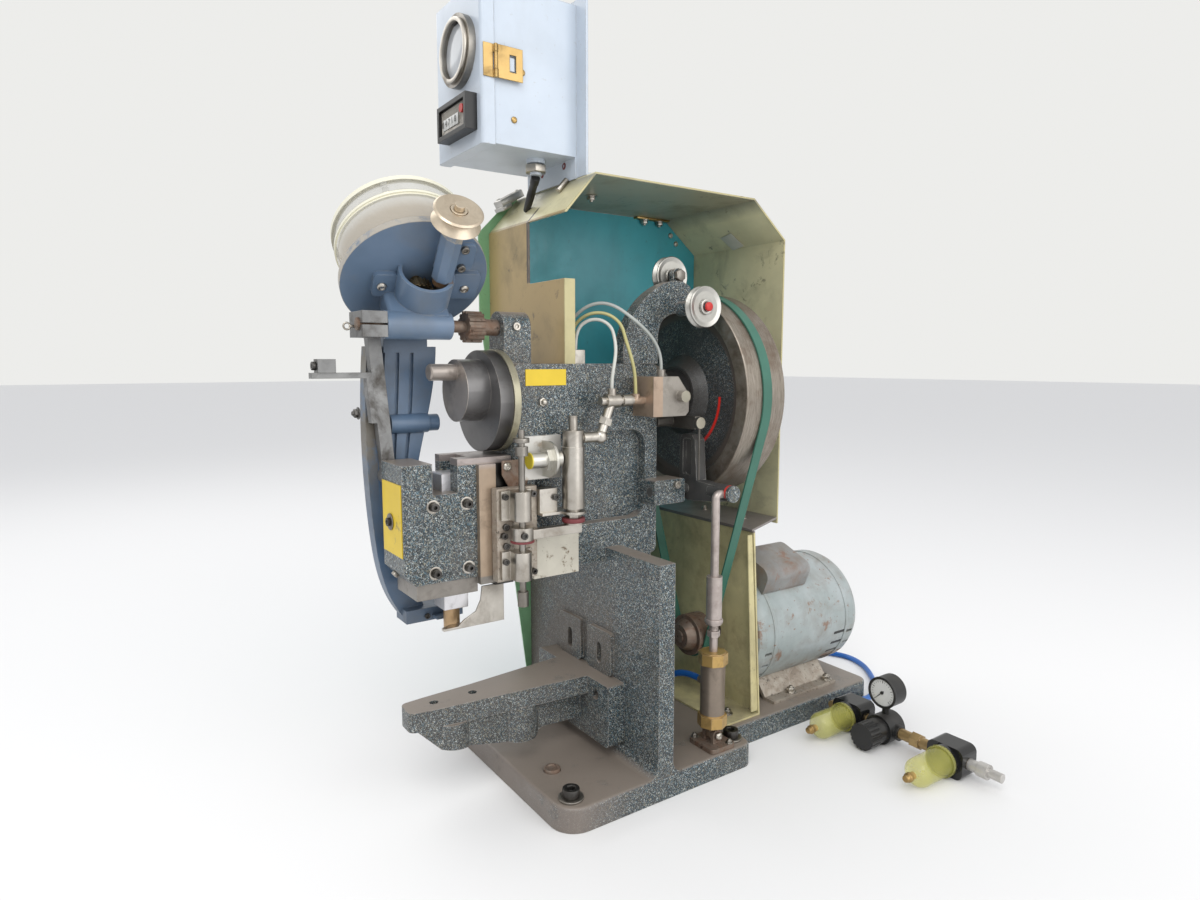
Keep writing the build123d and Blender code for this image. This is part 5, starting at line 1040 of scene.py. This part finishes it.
def corner_bracket():
    """Bent rusty corner plate with a button screw, on the near side of the gib bar."""
    plate = square_blank("corner_bracket", (2.4, 36, 16), (41, -137, 381))
    select_bottom(plate)
    pull(0, 3, -20)
    scale_about((41, -137, 360), (1, 0.42, 1))
    select_faces(plate, lambda centre, normal: normal.y > 0.9 and centre.z > 370)
    pull(4, 7, -2)
    closed(plate, 1.1, segments=3)
    fit(plate, *RUSTY)
    knob = button_screw()
    fit(placed(knob, (42.2, -149, 382), NEAR), *BRIGHT)


def eye_screw():
    """Small eye screw in the front of the split clamp."""
    deselect()
    bpy.ops.mesh.primitive_torus_add(
        major_radius=3.4 * MM, minor_radius=1.0 * MM, major_segments=24, minor_segments=10,
        location=(-0.010, -0.3005, 0.531), rotation=(0, math.radians(90), 0))
    eye = closed(opened("eye"))
    shank = stepped(round_blank("eye_shank", 1.5, 6, 16), [(0.4, 0.3)], 0.2)
    placed(shank, (-10, -292, 531), FRONT)
    fit(joined("eye_screw", [eye, shank]), "feed", "bright", "bright_steel")


def pulley_hub():
    """Raised hub ring of the vee pulley, and the seam of the clear drum."""
    top = on_disc(104.2, 21, 16)
    hub = placed(ring("pulley_hub", 8.2, 5.2, 2.4, 0.4), top, tuple(WORM_AXIS))
    fit(hub, "hopper_pulley", "vee", "bright_steel")
    seam = square_blank("drum_seam", (1.4, 7, 20), (72.6, 0, 0))
    select_faces(seam, lambda centre, normal: normal.x > 0.9)
    inset(1.5, 0.6)
    closed(seam, 0.4)
    angle = math.radians(SEAM_ANGLE)
    out = (math.cos(angle) * WORM_AXIS + math.sin(angle) * ACROSS).normalized()
    frame_turn = Matrix((out, DRUM_AXIS.cross(out), DRUM_AXIS)).transposed()
    middle = (DISC_CENTRE + 61 * DRUM_AXIS) * MM
    seam.data.transform(Matrix.Translation(middle) @ frame_turn.to_4x4())
    fit(seam, "feed", "drum", "drum_plastic")


def idler_caps():
    """Red cap and turned hub on the near idler, and a plain nut on the far one."""
    hub = ring("idler_hub", 9.5, 5.6, 2.2, 0.5)
    fit(placed(hub, (89.4, 94, 560), NEAR), "idler_near", "alloy", "aluminium")
    cap = stepped(round_blank("idler_cap", 5.4, 2.6, 32), [(1.0, 0.8), (1.4, 0.4)], 0.3, 60)
    fit(placed(cap, (92.8, 94, 560), NEAR), "frame", "red", "red_plastic")
    nut = stepped(round_blank("idler_nut", 8, 5, 6), [(1.2, 0.6)], 0.4)
    fit(placed(nut, (32.2, 99, 602), NEAR), *DULL)


def window_dial():
    """Second bezel ring, the glazed face and the bezel's lug at the control box's round window."""
    bezel = placed(ring("window_bezel", 34, 29.2, 4, 0.9, 64), (-46, -160.9, 836), FRONT)
    fit(bezel, "door", "bright", "bright_steel")
    glass = stepped(round_blank("window_glass", 29.6, 2.4, 64), [(4, 0.9), (8, 0.8), (8, 0.3)], 0.0, 60)
    fit(placed(glass, (-46, -155.2, 836), FRONT), "door", "pane", "pane")
    lug = stepped(square_blank("bezel_lug", (9, 5, 8), (-46, -159, 868)), [(1.2, 1.2)], 0.5)
    fit(lug, "door", "dark", "dark_steel")


def counter_face():
    """Pale frame, digit wheels and their numbers in the counter's window."""
    digit_pitch = 8.2
    trim = square_blank("counter_trim", (64, 1.6, 26), (-46, -163.4, 764))
    select_faces(trim, lambda centre, normal: normal.y < -0.9)
    inset(2.0)
    pull(0, 0.8, 0)
    closed(trim, 0.2)
    fit(trim, "door", "dull", "bright_steel")
    wheels = []
    for place in range(5):
        wheel = square_blank("digit_wheel", (7.2, 2.4, 12), (-70 + digit_pitch * place, -164.6, 762))
        select_faces(wheel, lambda centre, normal: abs(normal.z) > 0.9)
        scale_about((0, -163.4, 762), (1, 0.35, 1))
        wheels.append(closed(wheel, 0.5))
    fit(joined("digit_wheels", wheels), "door", "white", "white_plate")
    digits = []
    for place, digit in enumerate("04718"):
        deselect()
        foot = ((-72.6 + digit_pitch * place) * MM, -0.16575, 0.7585)
        bpy.ops.object.text_add(location=foot, rotation=(math.radians(90), 0, 0))
        letter = bpy.context.object
        letter.data.body = digit
        letter.data.size = 0.0096
        letter.data.extrude = 0.00012
        bpy.ops.object.convert(target="MESH")
        bpy.ops.object.transform_apply(location=True, rotation=True, scale=True)
        digits.append(bpy.context.object)
    fit(joined("counter_digits", digits), "door", "black", "black_plastic")


def on_gauge(mark, degrees):
    """Turn a mark made about the origin and carry it to the gauge's dial."""
    mark.data.transform(Matrix.Rotation(math.radians(degrees), 4, "Y"))
    mark.data.transform(Matrix.Translation(GAUGE_CENTRE * MM))
    return mark


def gauge_face():
    """White dial with its ticks, needle and bezel on the air gauge."""
    lowest = -135
    tick_step = 13.5
    bezel = ring("gauge_bezel", 20.6, 17.4, 3.4, 0.8, 64)
    fit(placed(bezel, GAUGE_CENTRE + Vector((0, 1, 0)), FRONT), *BLACK)
    dial = stepped(round_blank("gauge_dial", 17.6, 0.8, 64), [(1.2, 0.2)], 0.1)
    fit(placed(dial, GAUGE_CENTRE, FRONT), "frame", "white", "white_plate")
    marks = []
    for step in range(21):
        size = (0.7, 0.3, 3.6) if step % 5 == 0 else (0.4, 0.3, 2.2)
        tick = square_blank("tick", size, (0, -1.1, 14.6))
        select_top(tick)
        scale_about((0, 0, 0), (0.6, 1, 1))
        marks.append(on_gauge(closed(tick), lowest + tick_step * step))
    needle = square_blank("needle", (1.5, 0.4, 17), (0, -1.7, 5))
    select_top(needle)
    scale_about((0, -1.7, 0), (0.2, 1, 1))
    marks.append(on_gauge(closed(needle), lowest))
    fit(joined("gauge_marks", marks), *BLACK)
    boss = stepped(round_blank("needle_boss", 2.2, 1.4, 24), [(0.6, 0.3)], 0.1)
    fit(placed(boss, GAUGE_CENTRE - Vector((0, 1, 0)), FRONT), *BLACK)


def gland_and_cable():
    """Gland nut under the control box and the short taped cable from it to the guard."""
    nut = stepped(round_blank("gland_nut", 13.5, 8, 6), [(1.2, 0.8)], 0.5)
    fit(placed(nut, (-34, -66, 716)), *BRIGHT)
    start = Vector((-34, -66, 711))
    run = Vector((-76, -55.5, 680.5)) - start
    cable = round_blank("taped_cable", 5.4, 9, 24)
    select_top(cable)
    for length, factor in ((1.5, 0.86), (12, 1.0), (1.5, 1.1), (16, 0.92), (run.length - 40, 0.85)):
        pull(0, 0, length)
        scale_about((0, 0, 0), (factor, factor, 1))
    closed(cable, 0.4, 50)
    fit(placed(cable, start, run.normalized()), *BLACK)


def cable_clamp():
    """Tilted clamp with its foot and two screws on the guard's top."""
    clamp = square_blank("cable_clamp", (20, 36, 9), (0, 0, 6))
    select_top(clamp)
    inset(1.5, 0.8)
    inset(3.0)
    pull(0, 0, -2)
    closed(clamp, 0.8)
    foot = square_blank("clamp_foot", (24, 14, 5), (0, -13, 0))
    select_bottom(foot)
    inset(0.8, 0.3)
    closed(foot, 0.6)
    heads = button_screw()
    clamp_screws = copies(heads, "clamp_screws", [(-5, -12, 10.5), (5, 12, 10.5)], size=0.7)
    bpy.data.objects.remove(heads, do_unlink=True)
    clamp = joined("cable_clamp", [clamp, foot, clamp_screws])
    tilt = Matrix.Rotation(math.radians(30), 4, "X")
    clamp.data.transform(Matrix.Translation(Vector((-0.132, -0.047, 0.699))) @ tilt)
    fit(clamp, "frame", "alloy", "bright_steel")


def guard_pin_and_clip():
    """Short pin by the box's cable, and the clip along the teal back panel's top edge."""
    pin = round_blank("guard_pin", 3.4, 18, 32)
    select_faces(pin, lambda centre, normal: abs(normal.z) > 0.9)
    inset(0.7, 0.5)
    closed(pin, 0.3)
    fit(placed(pin, (-14.5, -47.3, 695), (0, 0.66, 0.75)), *BRIGHT)
    clip = square_blank("panel_clip", (10, 60, 2.6), (-138, 190, 704))
    select_bottom(clip)
    inset(1.0, 0.4)
    closed(clip, 0.3)
    fit(clip, "frame", "brass", "tan_paint")


def guard_trim():
    """Folded lip along the lower guard's near edge, and a plain paper tag on the upper guard."""
    lip = square_blank("lower_lip", (3, 12, 236), (84, 187, 152))
    select_top(lip)
    scale_about((84, 187, 270), (1, 0.7, 1))
    bpy.ops.transform.translate(value=(-6.5 * MM, 0, 0))
    select_bottom(lip)
    bpy.ops.transform.translate(value=(8.5 * MM, 0, 0))
    closed(lip, 1.2, segments=3)
    fit(lip, "frame", "low_tan", "tan_paint")
    tag = stepped(square_blank("plain_tag", (26, 27, 0.4)), [(0.5, 0.1)])
    fit(placed(tag, (-48, 266.6, 667.0), (0, -0.625, -0.781), 0.2), "frame", "tag", "white_plate")


def lubricator_parts():
    """Black collars and brass drain taps of the two yellow bowls."""
    for name, x in (("lubricator", 150), ("filter", 292)):
        collar = ring(name + "_collar", 19, 17.2, 8, 0.8, 48)
        fit(placed(collar, (x, 303.6, 19), FRONT), *BLACK)
        tap = round_blank(name + "_tap", 5.6, 5, 12)
        select_top(tap)
        inset(1.4, 0.4)
        pull(0, 0, 4)
        closed(tap, 0.5)
        fit(placed(tap, (x, 236.4, 19), FRONT), "frame", "brass", "brass")


def rod_rings():
    """Thread crests and sleeve collar of the pull rod, and the stop ring on the spotter's rod."""
    crests = [(118, 88, 173.6 + 1.8 * step) for step in range(4)]
    rod_steel = ("pull_rod", "rod", "dark_steel")
    fit(ring_set("thread_crests", crests, UP, 5.7, 4.9, 1.0, 0.3, 32), *rod_steel)
    fit(placed(ring("sleeve_collar", 11, 9.4, 5, 0.6), (118, 88, 183)), *rod_steel)
    stop = placed(ring("rod_stop", 8.6, 3.6, 5, 0.6), (66, -144, 410))
    fit(stop, "spotter", "dull", "dark_steel")


def motor_trim():
    """Rolled seams round the motor's two end bells, and black bars by the rear one: painted shade standing
    in for the open vent slots.
    """
    seams = [(MOTOR_X, y, MOTOR_Z) for y in (229, 377)]
    bands = ring_set("bell_bands", seams, REAR, 83.6, 82.2, 4.5, 0.5, 96)
    fit(bands, "frame", "motor", "motor_paint")
    slots = []
    # painted shade: black bars laid on the shell stand in for the darkness inside the open vent slots
    for step in range(5):
        slot = square_blank("vent", (1.2, 22, 4.2), (82.2, 366, 0))
        select_faces(slot, lambda centre, normal: normal.x > 0.9)
        inset(0.3)
        closed(slot, 0.5)
        slot.data.transform(Matrix.Rotation(math.radians(12 + 12 * step), 4, "Y"))
        slot.data.transform(Matrix.Translation(Vector((MOTOR_X, 0, MOTOR_Z)) * MM))
        slots.append(slot)
    fit(joined("vent_slot_shade", slots), *BLACK)


bpy.context.scene.view_settings.view_transform = "Standard"
bpy.ops.object.select_all(action="DESELECT")
finish = finishes()
camera_and_light()
cords()
world()
floor()
dress_nodes()
fasteners()
washers()
base_plug()
grease_nipple()
corner_bracket()
eye_screw()
pulley_hub()
idler_caps()
window_dial()
counter_face()
gauge_face()
gland_and_cable()
cable_clamp()
guard_pin_and_clip()
guard_trim()
lubricator_parts()
rod_rings()
motor_trim()
